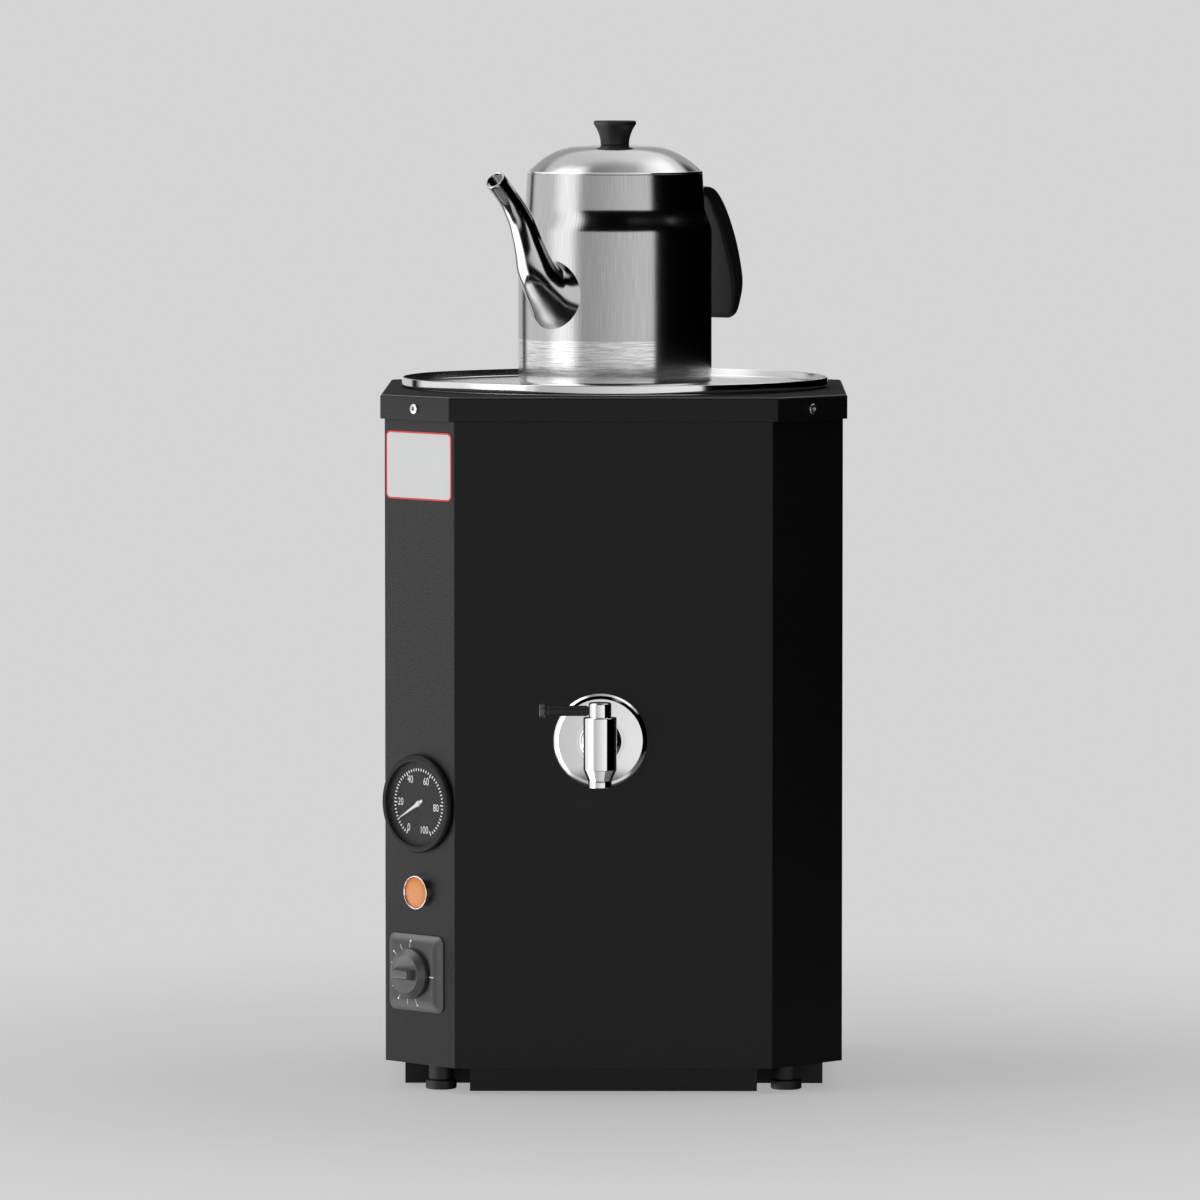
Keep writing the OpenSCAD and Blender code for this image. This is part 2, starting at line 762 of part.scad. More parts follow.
// Screwed brass head that carries the heating loops
module element_head() {
    color(brass) centred() difference() {
        union() {
            shaft_hole(head_flange_r, head_z, head_z + head_flange_h);
            shaft_hole(head_r, head_z - head_tail, head_z + head_flange_h);
        }
        at_loops()
            shaft_hole(element_r + running_fit, head_z - head_tail - cut, head_z + head_flange_h + cut);
    }
}

// Washer between the heater's head and the tank floor
module element_gasket() {
    color(rubber_black) centred() translate([0, 0, tank_floor])
        tube(head_flange_r, head_r + seat_gap, element_gasket_t);
}

// Nut that draws the heater's head down
module element_nut() {
    color(brass) centred() translate([0, 0, tank_z - element_nut_h]) difference() {
        hex(2 * head_r + 14, element_nut_h);
        shaft_hole(head_r + running_fit, -cut, element_nut_h + cut);
    }
}

// Tap casting: shank, collar, neck and upright barrel with its tapered nozzle
module tap_body() {
    edge = 0.8;
    collar_edge = 2;
    collar_r = tap_collar_d / 2;
    lip = 3;
    mouth = -barrel_down - nozzle_l;
    color(chrome) centred() difference() {
        union() {
            on_front(-tap_x, tap_z) {
                shaft_hole(shank_r, shank_end - half_w, tap_flange_h + join);
                translate([0, 0, tap_flange_h]) rotate_extrude() polygon(concat(
                    [[0, 0], [collar_r, 0]],
                    arc(collar_r - collar_edge, collar_l - collar_edge, collar_edge, 0, 90, 4),
                    [[0, collar_l]]
                ));
                shaft_hole(neck_r, tap_flange_h + join, tap_reach);
            }
            at_barrel() rotate_extrude() polygon(concat(
                [[0, mouth], [nozzle_d / 2, mouth], [nozzle_d / 2, mouth + lip], [barrel_r, -barrel_down]],
                arc(barrel_r - edge, barrel_up - edge, edge, 0, 90, 3),
                [[0, barrel_up]]
            ));
        }
        on_front(-tap_x, tap_z) shaft_hole(water_r, shank_end - half_w - cut, tap_reach);
        at_barrel() {
            shaft_hole(plug_r + running_fit, -plug_down, barrel_up + cut);
            shaft_hole(water_r, mouth - cut, -plug_down + cut);
        }
    }
}

// Domed flange that covers the hole in the casing
module tap_flange() {
    r = tap_flange_d / 2;
    rim = 1.4;
    edge = 3;
    color(chrome) centred() on_front(-tap_x, tap_z) rotate_extrude() polygon(concat(
        [[shank_r + seat_gap, 0], [r, 0]],
        arc(r - edge, rim, edge, 0, 75, 6),
        [[tap_collar_d / 2 + 2, tap_flange_h], [shank_r + seat_gap, tap_flange_h]]
    ));
}

// Washer between the casing and the tank's socket
module tap_gasket() {
    color(rubber_black) centred() on_front(-tap_x, tap_z) translate([0, 0, socket_out - half_w])
        tube(socket_r, shank_r + seat_gap, half_w - sheet_t - socket_out);
}

// Turning plug with its angled waterway, under a round cap
module tap_spindle() {
    edge = 1.5;
    lift = 0.1;
    color(chrome) centred() at_barrel() difference() {
        union() {
            shaft_hole(plug_r, lift - plug_down, barrel_up + lift + join);
            translate([0, 0, barrel_up + lift]) rotate_extrude() polygon(concat(
                [[0, 0], [cap_r, 0]],
                arc(cap_r - edge, cap_h - lift - edge, edge, 0, 90, 4),
                [[0, cap_h - lift]]
            ));
        }
        shaft_hole(water_r - 1, -plug_down - cut, 0);
        rotate([0, 90, 0]) shaft_hole(water_r - 1, 0, plug_r + cut);
        translate([0, 0, barrel_up + lever_up]) rotate([0, -90, 0])
            shaft_hole(lever_pin_r + running_fit, cap_r - lever_pin_l, cap_r + cut);
        for (h = seal_up) translate([0, 0, h]) tube(plug_r + cut, plug_r - seal_t, seal_t);
    }
}

// Two rings that seal the plug
module spindle_seals() {
    color(rubber_black) centred() at_barrel()
        for (h = seal_up)
            translate([0, 0, h + running_fit])
                tube(plug_r, plug_r - seal_t + running_fit, seal_t - 2 * running_fit);
}

// Lever rod with the pin that enters the cap and the neck that carries the end cap
module tap_lever() {
    rod_end = lever_l - lever_end_l - lever_neck_l;
    root = cap_r + seat_gap;
    neck_end = rod_end + lever_neck_l;
    color(plastic_black) centred() at_barrel() translate([0, 0, barrel_up + lever_up]) rotate([0, -90, 0]) {
        shaft_hole(lever_pin_r, root - lever_pin_l, root + join);
        rotate_extrude() polygon(concat(
            [[0, root], [lever_r - lever_edge, root], [lever_r, root + 2 * lever_edge]],
            arc(lever_r - lever_edge, rod_end - lever_edge, lever_edge, 0, 90, 3),
            [[lever_neck_r, rod_end], [lever_neck_r, neck_end], [0, neck_end]]
        ));
        shaft_hole(lever_pin_r, neck_end - join, lever_l - lever_end_wall);
    }
}

// Round cap on the lever's end
module lever_cap() {
    r = lever_end_d / 2;
    edge = 1;
    color(plastic_black) centred() at_barrel() translate([0, 0, barrel_up + lever_up]) rotate([0, -90, 0])
        translate([0, 0, lever_l - lever_end_l]) difference() {
            rotate_extrude() polygon(concat(
                [[0, 0], [r - lever_edge, 0], [r, lever_edge]],
                arc(r - edge, lever_end_l - edge, edge, 0, 90, 4),
                [[0, lever_end_l]]
            ));
            shaft_hole(lever_pin_r + running_fit, -cut, lever_end_l - lever_end_wall + running_fit);
        }
}

// Round cup behind the dial
module thermometer_case() {
    color(plastic_black) centred() on_corner(0, thermometer_z) difference() {
        shaft_hole(case_r, -case_l, 0);
        shaft_hole(case_r - case_wall, case_wall - case_l, cut);
        shaft_hole(stem_r + running_fit, -case_l - cut, 0);
    }
}

// Stem that reaches into the tank and guides the needle's axle
module thermometer_stem() {
    color(steel) centred() on_corner(0, thermometer_z) difference() {
        shaft_hole(stem_r, -wall_depth - well_in + well_end + stem_gap, -stem_front);
        shaft_hole(needle_axle_r + running_fit, -needle_axle_l - stem_gap, 0);
    }
}

// Plate behind the needle
module thermometer_dial() {
    color(plastic_grey) centred() on_corner(0, thermometer_z)
        tube(case_r - dial_gap, needle_axle_r + running_fit, dial_t);
}

// Tapered needle with its tail, hub and axle
module thermometer_needle() {
    base = dial_t + needle_lift;
    hub = needle_lift / 2;
    tip_w = 0.3;
    color(needle_white) centred() on_corner(0, thermometer_z) rotate(needle_rest) {
        translate([0, 0, base]) linear_extrude(needle_t) polygon([
            [-needle_tail, -needle_w], [0, -needle_w], [needle_l, -tip_w],
            [needle_l, tip_w], [0, needle_w], [-needle_tail, needle_w]
        ]);
        shaft_hole(needle_hub_r, base - hub, base + needle_t + hub);
        shaft_hole(needle_axle_r, -needle_axle_l, base);
    }
}

// Flat glass under the bezel's lip
module thermometer_glass() {
    color(glass_clear, 0.3) centred() on_corner(0, thermometer_z)
        shaft_hole(case_r - dial_gap, bezel_h - bezel_lip - glass_t, bezel_h - bezel_lip);
}

// Rounded ring that holds the glass and the dial
module thermometer_bezel() {
    r = bezel_d / 2;
    pocket = case_r - dial_gap + seat_gap;
    lip = dial_r - dial_gap;
    glass_z = bezel_h - bezel_lip;
    color(plastic_black) centred() on_corner(0, thermometer_z) rotate_extrude() polygon(concat(
        [[pocket, 0], [r - 1, 0]],
        arc(r - bezel_h / 2, bezel_h / 2, bezel_h / 2, -30, 90, 8),
        [[lip, bezel_h], [lip, glass_z], [pocket, glass_z], [pocket, glass_z - glass_t]],
        [[lip, glass_z - glass_t], [lip, dial_t], [pocket, dial_t]]
    ));
}

// Bright ring of the pilot lamp
module lamp_bezel() {
    r = lamp_d / 2;
    edge = 0.7;
    color(chrome) centred() on_corner(0, lamp_z) rotate_extrude() polygon(concat(
        [[lamp_body_r + seat_gap, 0], [r, 0]],
        arc(r - edge, lamp_ring_h - edge, edge, 0, 90, 3),
        [[r - lamp_wall, lamp_ring_h], [r - lamp_wall, lamp_floor], [lamp_body_r + seat_gap, lamp_floor]]
    ));
}

// Domed lens of the pilot lamp
module lamp_lens() {
    r = lamp_d / 2 - lamp_wall - seat_gap;
    side = lamp_ring_h - lamp_floor - lamp_dome - join;
    steps = 6;
    dome = [for (i = [0:steps]) let (a = 90 * i / steps) [r * cos(a), side + lamp_dome * sin(a)]];
    color(lamp_orange) centred() on_corner(0, lamp_z) translate([0, 0, lamp_floor])
        rotate_extrude() polygon(concat([[0, 0], [r, 0]], dome));
}

// Lamp holder through the casing
module lamp_body() {
    color(plastic_black) centred() on_corner(0, lamp_z) {
        shaft_hole(lamp_body_r, -lamp_body_l, lamp_floor);
        for (s = [-1, 1])
            translate([s * lamp_tab_at - lamp_tab[0] / 2, -lamp_tab[1] / 2, -lamp_body_l - lamp_tab[2]])
                cube(lamp_tab + [0, 0, join]);
    }
}

// Nut behind the pilot lamp
module lamp_nut() {
    color(chrome) centred() on_corner(0, lamp_z) translate([0, 0, -sheet_t - lamp_nut_h]) difference() {
        hex(2 * lamp_body_r + 5, lamp_nut_h);
        shaft_hole(lamp_body_r + running_fit, -cut, lamp_nut_h + cut);
    }
}

// Square plate with sloped sides behind the knob
module thermostat_plate() {
    color(plastic_grey) centred() on_corner(thermostat_u, thermostat_z) difference() {
        hull() {
            rounded_plate(plate_w, plate_corner, plate_edge);
            translate([0, 0, plate_t - plate_edge / 2])
                rounded_plate(plate_w - 2 * plate_slope, plate_corner - plate_edge, plate_edge / 2);
        }
        shaft_hole(shaft_r + pass_gap, -cut, plate_t + cut);
        at_thermostat_screws() {
            shaft_hole(screw_r + seat_gap, -cut, plate_t + cut);
            shaft_hole(screw_head_r + seat_gap, screw_seat, plate_t + cut);
        }
    }
}

// Switch block behind the casing
module thermostat_body() {
    color(plastic_black) centred() on_corner(thermostat_u, thermostat_z) difference() {
        translate([-thermostat_w / 2, -thermostat_w / 2, -sheet_t - thermostat_l])
            cube([thermostat_w, thermostat_w, thermostat_l]);
        shaft_hole(shaft_r + running_fit, -sheet_t - shaft_in - cut, 0);
        at_thermostat_screws() shaft_hole(screw_r + running_fit, -sheet_t - screw_l - cut, 0);
        translate([capillary_u - thermostat_u, 0, -sheet_t - thermostat_l])
            shaft_hole(capillary_r + running_fit, -cut, capillary_in);
    }
}

// Screws that clamp the plate and the switch block to the casing
module thermostat_screws() {
    color(chrome) centred() on_corner(thermostat_u, thermostat_z) at_thermostat_screws() {
        shaft_hole(screw_r, -sheet_t - screw_l, screw_seat + join);
        shaft_hole(screw_head_r, screw_seat, screw_seat + screw_head_h);
    }
}

// Turning shaft between the switch block and the knob
module thermostat_shaft() {
    color(steel) centred() on_corner(thermostat_u, thermostat_z)
        shaft_hole(shaft_r, -sheet_t - shaft_in, plate_t + knob_gap + knob_h - knob_wall);
}

// Knob with a sloped side and a tapered grip bar across its face
module thermostat_knob() {
    grip_l = knob_face_d - 4;
    grip_w = 7.6;
    slope = 0.64;
    edge = 0.4;
    rim_r = knob_d / 2;
    face_r = knob_face_d / 2;
    color(plastic_grey) centred() on_corner(thermostat_u, thermostat_z)
        translate([0, 0, plate_t + knob_gap]) difference() {
            union() {
                rotate_extrude() polygon([
                    [0, 0], [rim_r - edge, 0], [rim_r, edge], [rim_r, knob_skirt],
                    [face_r + edge, knob_h - edge], [face_r, knob_h], [0, knob_h]
                ]);
                translate([0, 0, knob_h - edge]) hull() {
                    translate([-grip_l / 2, -grip_w / 2, 0]) cube([grip_l, grip_w, edge]);
                    translate([-grip_l * slope / 2, -grip_w * slope / 2, grip_h])
                        cube([grip_l * slope, grip_w * slope, edge]);
                }
            }
            shaft_hole(shaft_r + running_fit, -cut, knob_h - knob_wall + running_fit);
        }
}

// Sensing bulb in its pocket, with the thin tube that leads to the switch block
module thermostat_bulb() {
    inward = pocket_at - corner_face;
    rise = tank_z - thermostat_z;
    color(brass) centred() on_corner(capillary_u, thermostat_z) {
        shaft_hole(capillary_r, inward + capillary_bend, capillary_in - sheet_t - thermostat_l - seat_gap);
        translate([0, capillary_bend, inward + capillary_bend]) rotate([0, 90, 0]) rotate(-90)
            rotate_extrude(angle = 90) translate([capillary_bend, 0]) circle(capillary_r);
        translate([0, 0, inward]) rotate([-90, 0, 0]) {
            shaft_hole(capillary_r, capillary_bend, rise + join);
            shaft_hole(bulb_r, rise, rise + pocket_l - pocket_end - bulb_gap);
        }
    }
}

// Terminal strip on the base plate
module terminal_block() {
    pitch = 18;
    wire_r = 3;
    clamp_r = 2.4;
    size = terminal_size;
    wire_z = size[2] * 0.4;
    color(needle_white) centred() translate(concat(terminal_at, [casing_z + base_t])) difference() {
        cube(size);
        for (i = [-1:1]) translate([size[0] / 2 + i * pitch, 0, wire_z]) {
            rotate([-90, 0, 0]) shaft_hole(wire_r, -cut, size[1] + cut);
            for (y = [0.25, 0.75]) translate([0, size[1] * y, 0]) shaft_hole(clamp_r, 0, size[2]);
        }
    }
}

// Screwed cable inlet with its domed nose
module cable_gland() {
    tail = -2 * sheet_t - gland_nut_h - gland_tail;
    nose_r = gland_flange_r - 0.6;
    color(plastic_black) centred() on_rear(gland_x, gland_z) difference() {
        union() {
            shaft_hole(gland_thread_r, tail, join);
            hex(2 * gland_flange_r, gland_hex_h);
            translate([0, 0, gland_hex_h - join]) rotate_extrude() polygon(concat(
                [[0, 0], [nose_r, 0]],
                arc(nose_r - gland_nose, gland_l - gland_hex_h + join - gland_nose, gland_nose, 0, 90, 5),
                [[0, gland_l - gland_hex_h + join]]
            ));
        }
        shaft_hole(gland_r, tail - cut, gland_l + cut);
    }
}

// Nut inside the casing that holds the cable inlet
module gland_nut() {
    color(plastic_black) centred() on_rear(gland_x, gland_z)
        translate([0, 0, -sheet_t - gland_nut_h]) difference() {
            hex(gland_nut_w, gland_nut_h);
            shaft_hole(gland_thread_r + running_fit, -cut, gland_nut_h + cut);
        }
}

// Flat tank lid with a steam hole whose edge is turned down
module tank_lid() {
    steam_r = steam_d / 2;
    color(steel) centred() translate([0, 0, lid_z]) rotate_extrude() polygon([
        [steam_r, -steam_lip_h], [steam_r + lid_t, -steam_lip_h], [steam_r + lid_t, 0],
        [lid_rim_r, 0], [lid_rim_r, lid_t], [steam_r, lid_t]
    ]);
}

// Upright hoop round the tank lid's edge
module lid_rim() {
    edge = lid_t / 2;
    color(steel) centred() translate([0, 0, lid_floor]) rotate_extrude() polygon(concat(
        [[lid_rim_r - lid_t, 0], [lid_rim_r, 0]],
        arc(lid_rim_r - edge, lid_rim_h - edge, edge, 0, 180, 6)
    ));
}

// Hoop under the tank lid that centres it in the tank
module lid_ring() {
    ring_r = tank_in_r - cover_gap;
    color(steel) centred() translate([0, 0, lid_z - lid_ring_h]) tube(ring_r, ring_r - lid_t, lid_ring_h);
}

// Spun pot with a narrow neck and a strainer of holes behind the spout
module teapot_body() {
    inner = pot_side(pot_t);
    color(steel) centred() difference() {
        on_base() rotate_extrude() polygon(concat(
            [[0, 0]],
            pot_side(0),
            [for (i = [len(inner) - 1:-1:0]) inner[i]],
            [[0, pot_t]]
        ));
        spout_plane() translate([0, 0, strainer_up]) rotate([0, 90, 0]) {
            shaft_hole(strainer_r, pot_r / 2, pot_r + cut);
            for (a = [0:60:300])
                rotate(a) translate([strainer_ring_r, 0, 0]) shaft_hole(strainer_r, pot_r / 2, pot_r + cut);
        }
    }
}

// Hollow spout that swells to a bulb where it meets the pot's wall
module teapot_spout() {
    path = smooth(spout_stations, 3);
    sides = 24;
    color(chrome) centred() spout_plane() translate([pot_r, 0, 0])
        tube_skin(spout_rings(path, 0, sides), spout_rings(path, spout_t, sides));
}

// Saddle on the pot's neck with a tongue that enters the handle
module handle_bracket() {
    up = handle_stations[0][1];
    out = pot_r + handle_stations[0][0];
    saddle_t = 1.5;
    saddle_w = bracket_w * 1.4;
    neck_out = pot_radius(up - bracket_w / 2) + weld_gap;
    root = neck_out + saddle_t / 2;
    color(steel) centred() handle_plane() difference() {
        union() {
            intersection() {
                translate([0, 0, up - bracket_w / 2]) tube(neck_out + saddle_t, neck_out, bracket_w);
                translate([0, -saddle_w / 2, up - bracket_w / 2]) cube([2 * pot_r, saddle_w, bracket_w]);
            }
            translate([root, -bracket_w / 2, up - bracket_t / 2])
                cube([out + bracket_in - root, bracket_w, bracket_t]);
        }
        translate([out + bracket_in / 2, 0, 0])
            shaft_hole(handle_screw_r + seat_gap, up - bracket_w, up + bracket_w);
    }
}

// Tongue-shaped handle, held at its upper end and open below
module teapot_handle() {
    path = smooth(handle_stations, 3);
    up = handle_stations[0][1];
    start = handle_stations[0][0];
    color(plastic_black) centred() handle_plane() translate([pot_r, 0, 0]) difference() {
        skin(path_rings(path, handle_w / 2, 5, 28));
        translate([start - cut, -bracket_w / 2 - seat_gap, up - bracket_t / 2 - seat_gap])
            cube([bracket_in + cut + seat_gap, bracket_w + 2 * seat_gap, bracket_t + 2 * seat_gap]);
        translate([start + bracket_in / 2, 0, 0]) {
            shaft_hole(handle_screw_r + seat_gap, up - bracket_w, up);
            shaft_hole(handle_screw_head_r + seat_gap, up - bracket_w, up - handle_screw_seat);
        }
    }
}

// Screw under the handle's upper end
module handle_screw() {
    up = handle_stations[0][1];
    out = pot_r + handle_stations[0][0] + bracket_in / 2;
    seat = up - handle_screw_seat;
    color(chrome) centred() handle_plane() translate([out, 0, 0]) {
        shaft_hole(handle_screw_r, seat - join, up + bracket_t / 2);
        shaft_hole(handle_screw_head_r, seat - handle_screw_head_h, seat);
    }
}

// Domed teapot lid with a rim that sits on the mouth and a skirt inside it
module teapot_lid() {
    skirt_r = mouth_r - pot_t - cover_gap;
    rim_r = mouth_r + 0.1;
    rim_edge = 0.6;
    steps = 10;
    rise = dome_h - crown_h - dome_rim_h;
    crown_r = lid_knob_foot_d / 2 + cover_gap;
    edge_r = rim_r - 2 * rim_edge;
    inside_r = skirt_r - dome_t;
    dome = [for (i = [0:steps])
        let (t = 1 - i / steps, up = rise * (1 - pow(t, dome_fall)))
        [dome_flat_r + (edge_r - dome_flat_r) * t, dome_rim_h + up]];
    under = [for (i = [steps:-1:0])
        let (t = 1 - i / steps, up = rise * (1 - pow(t, dome_fall)))
        [dome_flat_r - dome_t / 2 + (inside_r - dome_flat_r) * t, dome_rim_h - dome_t + up]];
    color(steel) centred() difference() {
        translate([0, 0, pot_top]) rotate_extrude() polygon(concat(
            [[skirt_r, 0], [rim_r, 0], [rim_r, dome_rim_h - rim_edge], [rim_r - rim_edge, dome_rim_h]],
            dome,
            [[crown_r, dome_h], [0, dome_h], [0, dome_h - dome_t], [crown_r, dome_h - dome_t]],
            under,
            [[inside_r, -dome_skirt], [skirt_r, -dome_skirt]]
        ));
        shaft_hole(lid_screw_r + seat_gap, dome_top - dome_t - cut, dome_top + cut);
    }
}

// Flared knob on the teapot's lid
module lid_knob() {
    foot = lid_knob_foot_d / 2;
    top = lid_knob_d / 2;
    edge = 1.8;
    steps = 8;
    flare = [for (i = [0:steps])
        let (t = i / steps)
        [foot + (top - foot) * t * t, t * (lid_knob_h - 2 * edge)]];
    color(plastic_black) centred() translate([0, 0, dome_top]) difference() {
        rotate_extrude() polygon(concat(
            [[0, 0]],
            flare,
            arc(top - edge, lid_knob_h - edge, edge, -10, 90, 6),
            [[0, lid_knob_h]]
        ));
        shaft_hole(lid_screw_r + running_fit, -cut, lid_screw_l);
    }
}

// Screw that holds the lid's knob from below
module lid_knob_screw() {
    color(chrome) centred() translate([0, 0, dome_top]) {
        shaft_hole(lid_screw_r, -dome_t - join, lid_screw_l - cut);
        shaft_hole(2 * lid_screw_r, -dome_t - lid_screw_r, -dome_t);
    }
}

casing_shell();
rear_panel();
rear_screws();
top_cover();
cover_rivets();
base_plate();
base_pan();
foot(-1, -1);  // foot_front_left
foot(1, -1);  // foot_front_right
foot(-1, 1);  // foot_rear_left
foot(1, 1);  // foot_rear_right
foot_screws();
foot_nuts();
water_tank();
tank_bottom();
tank_insulation();
tap_socket();
thermowell();
bulb_pocket();
heating_tubes();
element_head();
element_gasket();
element_nut();
tap_body();
tap_flange();
tap_gasket();
tap_spindle();
spindle_seals();
tap_lever();
lever_cap();
thermometer_case();
thermometer_stem();
thermometer_dial();
thermometer_needle();
thermometer_glass();
thermometer_bezel();
lamp_bezel();
lamp_lens();
lamp_body();
lamp_nut();
thermostat_plate();
thermostat_body();
thermostat_screws();
thermostat_shaft();
thermostat_knob();
thermostat_bulb();
terminal_block();
cable_gland();
gland_nut();
tank_lid();
lid_rim();
lid_ring();
teapot_body();
teapot_spout();
handle_bracket();
teapot_handle();
handle_screw();
teapot_lid();
lid_knob();
lid_knob_screw();
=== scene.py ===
"""Looks of an electric tea urn with a teapot on its tank lid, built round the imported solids.

Lengths are in millimetres until a mesh is made. The urn stands on z = 0, faces -Y and has its axis upright.
"""

import json
import math

import bpy
import numpy as np
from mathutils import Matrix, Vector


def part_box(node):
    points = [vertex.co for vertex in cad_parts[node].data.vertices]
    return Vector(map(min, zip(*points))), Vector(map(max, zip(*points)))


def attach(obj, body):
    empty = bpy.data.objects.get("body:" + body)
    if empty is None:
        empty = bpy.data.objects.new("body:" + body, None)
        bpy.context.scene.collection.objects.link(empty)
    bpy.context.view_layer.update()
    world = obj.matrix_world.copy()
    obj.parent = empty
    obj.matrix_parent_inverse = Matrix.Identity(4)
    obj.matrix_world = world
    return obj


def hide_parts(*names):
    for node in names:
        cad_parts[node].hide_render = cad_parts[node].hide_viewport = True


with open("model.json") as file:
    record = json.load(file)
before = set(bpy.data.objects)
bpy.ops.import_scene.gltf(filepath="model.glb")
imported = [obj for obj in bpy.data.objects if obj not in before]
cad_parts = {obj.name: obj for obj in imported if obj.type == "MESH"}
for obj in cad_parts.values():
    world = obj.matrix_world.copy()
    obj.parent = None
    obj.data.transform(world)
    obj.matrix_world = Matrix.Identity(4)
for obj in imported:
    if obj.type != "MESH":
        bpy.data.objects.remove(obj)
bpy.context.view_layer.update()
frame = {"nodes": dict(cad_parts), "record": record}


def size_of(node):
    """Lowest and highest corner of a solid, in millimetres."""
    low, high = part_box(node)
    return np.array(low) * 1000, np.array(high) * 1000


def middle_of(node):
    """Middle of a solid's box, in millimetres."""
    return sum(size_of(node)) / 2


# Places that the solids give
CASING_LOW, CASING_HIGH = size_of("casing_shell")
COVER_LOW, COVER_HIGH = size_of("top_cover")
LID_LOW, LID_HIGH = size_of("lid_rim")
POT_LOW, POT_HIGH = size_of("teapot_body")
HALF_W = CASING_HIGH[0]
AXIS = np.array([0, (CASING_LOW[1] + CASING_HIGH[1]) / 2, 0])
CORNER_CUT = 48
# Distance of the corner faces from the urn's axis
CORNER_FACE = (2 * HALF_W - CORNER_CUT) / math.sqrt(2)
RIVET_Z = middle_of("cover_rivets")[2]
TAP_X, _, TAP_Z = middle_of("tap_flange")
BARREL_OUT = 50
BARREL = np.array([TAP_X, CASING_LOW[1] - BARREL_OUT, TAP_Z])
POT_Z = POT_LOW[2]
POT_R = POT_HIGH[0]
POT_H = POT_HIGH[2] - POT_LOW[2]
KNOB_Z = size_of("lid_knob")[0][2]
REAR_Y = size_of("rear_panel")[1][1]
SPOUT_TURN = 229
HANDLE_TURN = 49
# Level lines on the pot, above its base
BAND_LOW = 7.0
BAND_HIGH = 31.5
# Edge of the teapot's lid
DOME_RIM_R = 60.4
# Height of the pilot lamp's lens above the casing
LAMP_FACE = 4.3
# Broken edge of sheet and of turned pieces
BREAK = 0.3

# Axes of the frames in which pieces are drawn: x to the right, y up and z out of the panel
SLANT = math.sqrt(0.5)
UPRIGHT = np.eye(3)
FRONT = np.array([[1, 0, 0], [0, 0, 1], [0, -1, 0]])
REAR = np.array([[-1, 0, 0], [0, 0, 1], [0, 1, 0]])
CORNER = np.array([[SLANT, -SLANT, 0], [0, 0, 1], [-SLANT, -SLANT, 0]])
LEVER = np.array([[0, 0, 1], [0, 1, 0], [-1, 0, 0]])
PART = np.zeros(3), UPRIGHT


def turned(axes, degrees):
    """Axes turned about their own z."""
    c, s = math.cos(math.radians(degrees)), math.sin(math.radians(degrees))
    return np.array([[c, s, 0], [-s, c, 0], [0, 0, 1]]) @ axes


def on_corner(u, z, turn=0):
    """Origin and axes of a panel frame on a corner face, turned about the urn by quarter turns."""
    axes = CORNER @ turned(UPRIGHT, turn)
    return AXIS + axes[2] * CORNER_FACE + axes[0] * u + np.array([0, 0, z]), axes


def on_front(x, z):
    """Origin and axes of a panel frame on the front face."""
    return np.array([x, CASING_LOW[1], z]), FRONT


def on_rear(x, z):
    """Origin and axes of a panel frame on the rear panel."""
    return np.array([x, REAR_Y, z]), REAR


def on_axis(z, turn=0):
    """Origin and axes of an upright frame on the urn's axis."""
    return AXIS + np.array([0, 0, z]), turned(UPRIGHT, turn)


# Places of the controls, one below the other on a corner face
PLATE_U = -2.5
DIAL_PLACE = on_corner(0, middle_of("thermometer_bezel")[2])
LAMP_PLACE = on_corner(0, middle_of("lamp_bezel")[2])
PLATE_PLACE = on_corner(PLATE_U, middle_of("thermostat_plate")[2])


# Outlines


def polar(radius, degrees):
    """Points from distances and angles, anticlockwise from the right."""
    a = np.radians(degrees)
    return np.stack([radius * np.cos(a), radius * np.sin(a)], 1)


def arc(x, y, radius, start, end, steps=8):
    """Points of a circle about (x, y), or of an ellipse by two radii, between two angles in degrees."""
    return np.array([x, y]) + np.array(radius) * polar(1, np.linspace(start, end, steps + 1))


def edge(out, top, radius, start=0, end=90, steps=8):
    """Points of a rounded edge that reaches out to one distance and up to one height."""
    return arc(out - radius, top - radius, radius, start, end, steps)


def outline(*stretches):
    """One run of points from several stretches of them."""
    return np.vstack([np.atleast_2d(np.asarray(s, float)) for s in stretches])


def spline(points, steps):
    """Cubic curve through points: at each one it runs along the chord between its two neighbours."""
    p = np.asarray(points, float)
    before, after = np.vstack([p[:1], p[:-2]]), np.vstack([p[2:], p[-1:]])
    t = np.linspace(0, 1, steps, endpoint=False)[None, :, None]
    a, b, c, d = (q[:, None, :] for q in (before, p[:-1], p[1:], after))
    square, cube = 2 * a - 5 * b + 4 * c - d, 3 * b - a - 3 * c + d
    curve = b + t * (c - a) / 2 + t**2 * square / 2 + t**3 * cube / 2
    return np.vstack([curve.reshape(-1, p.shape[1]), p[-1:]])


def ease(t):
    """Smooth rise from 0 to 1."""
    t = np.clip(t, 0, 1)
    return t * t * (3 - 2 * t)


def unit(vectors):
    """Vectors made one unit long."""
    return vectors / np.linalg.norm(vectors, axis=1)[:, None]


# Surfaces: each is an array of rings, (rings, points round a ring, 3)


def circle(sides):
    """The x and the y of even points round a circle of radius 1."""
    a = np.linspace(0, 2 * math.pi, sides, endpoint=False)
    return np.cos(a), np.sin(a)


def revolve(side, sides):
    """Surface of revolution: ring i is the circle of radius side[i, 0] at height side[i, 1]."""
    ring = np.stack([*circle(sides), np.zeros(sides)], 1)
    return side[:, :1, None] * ring[None] + side[:, 1][:, None, None] * np.array([0, 0, 1])


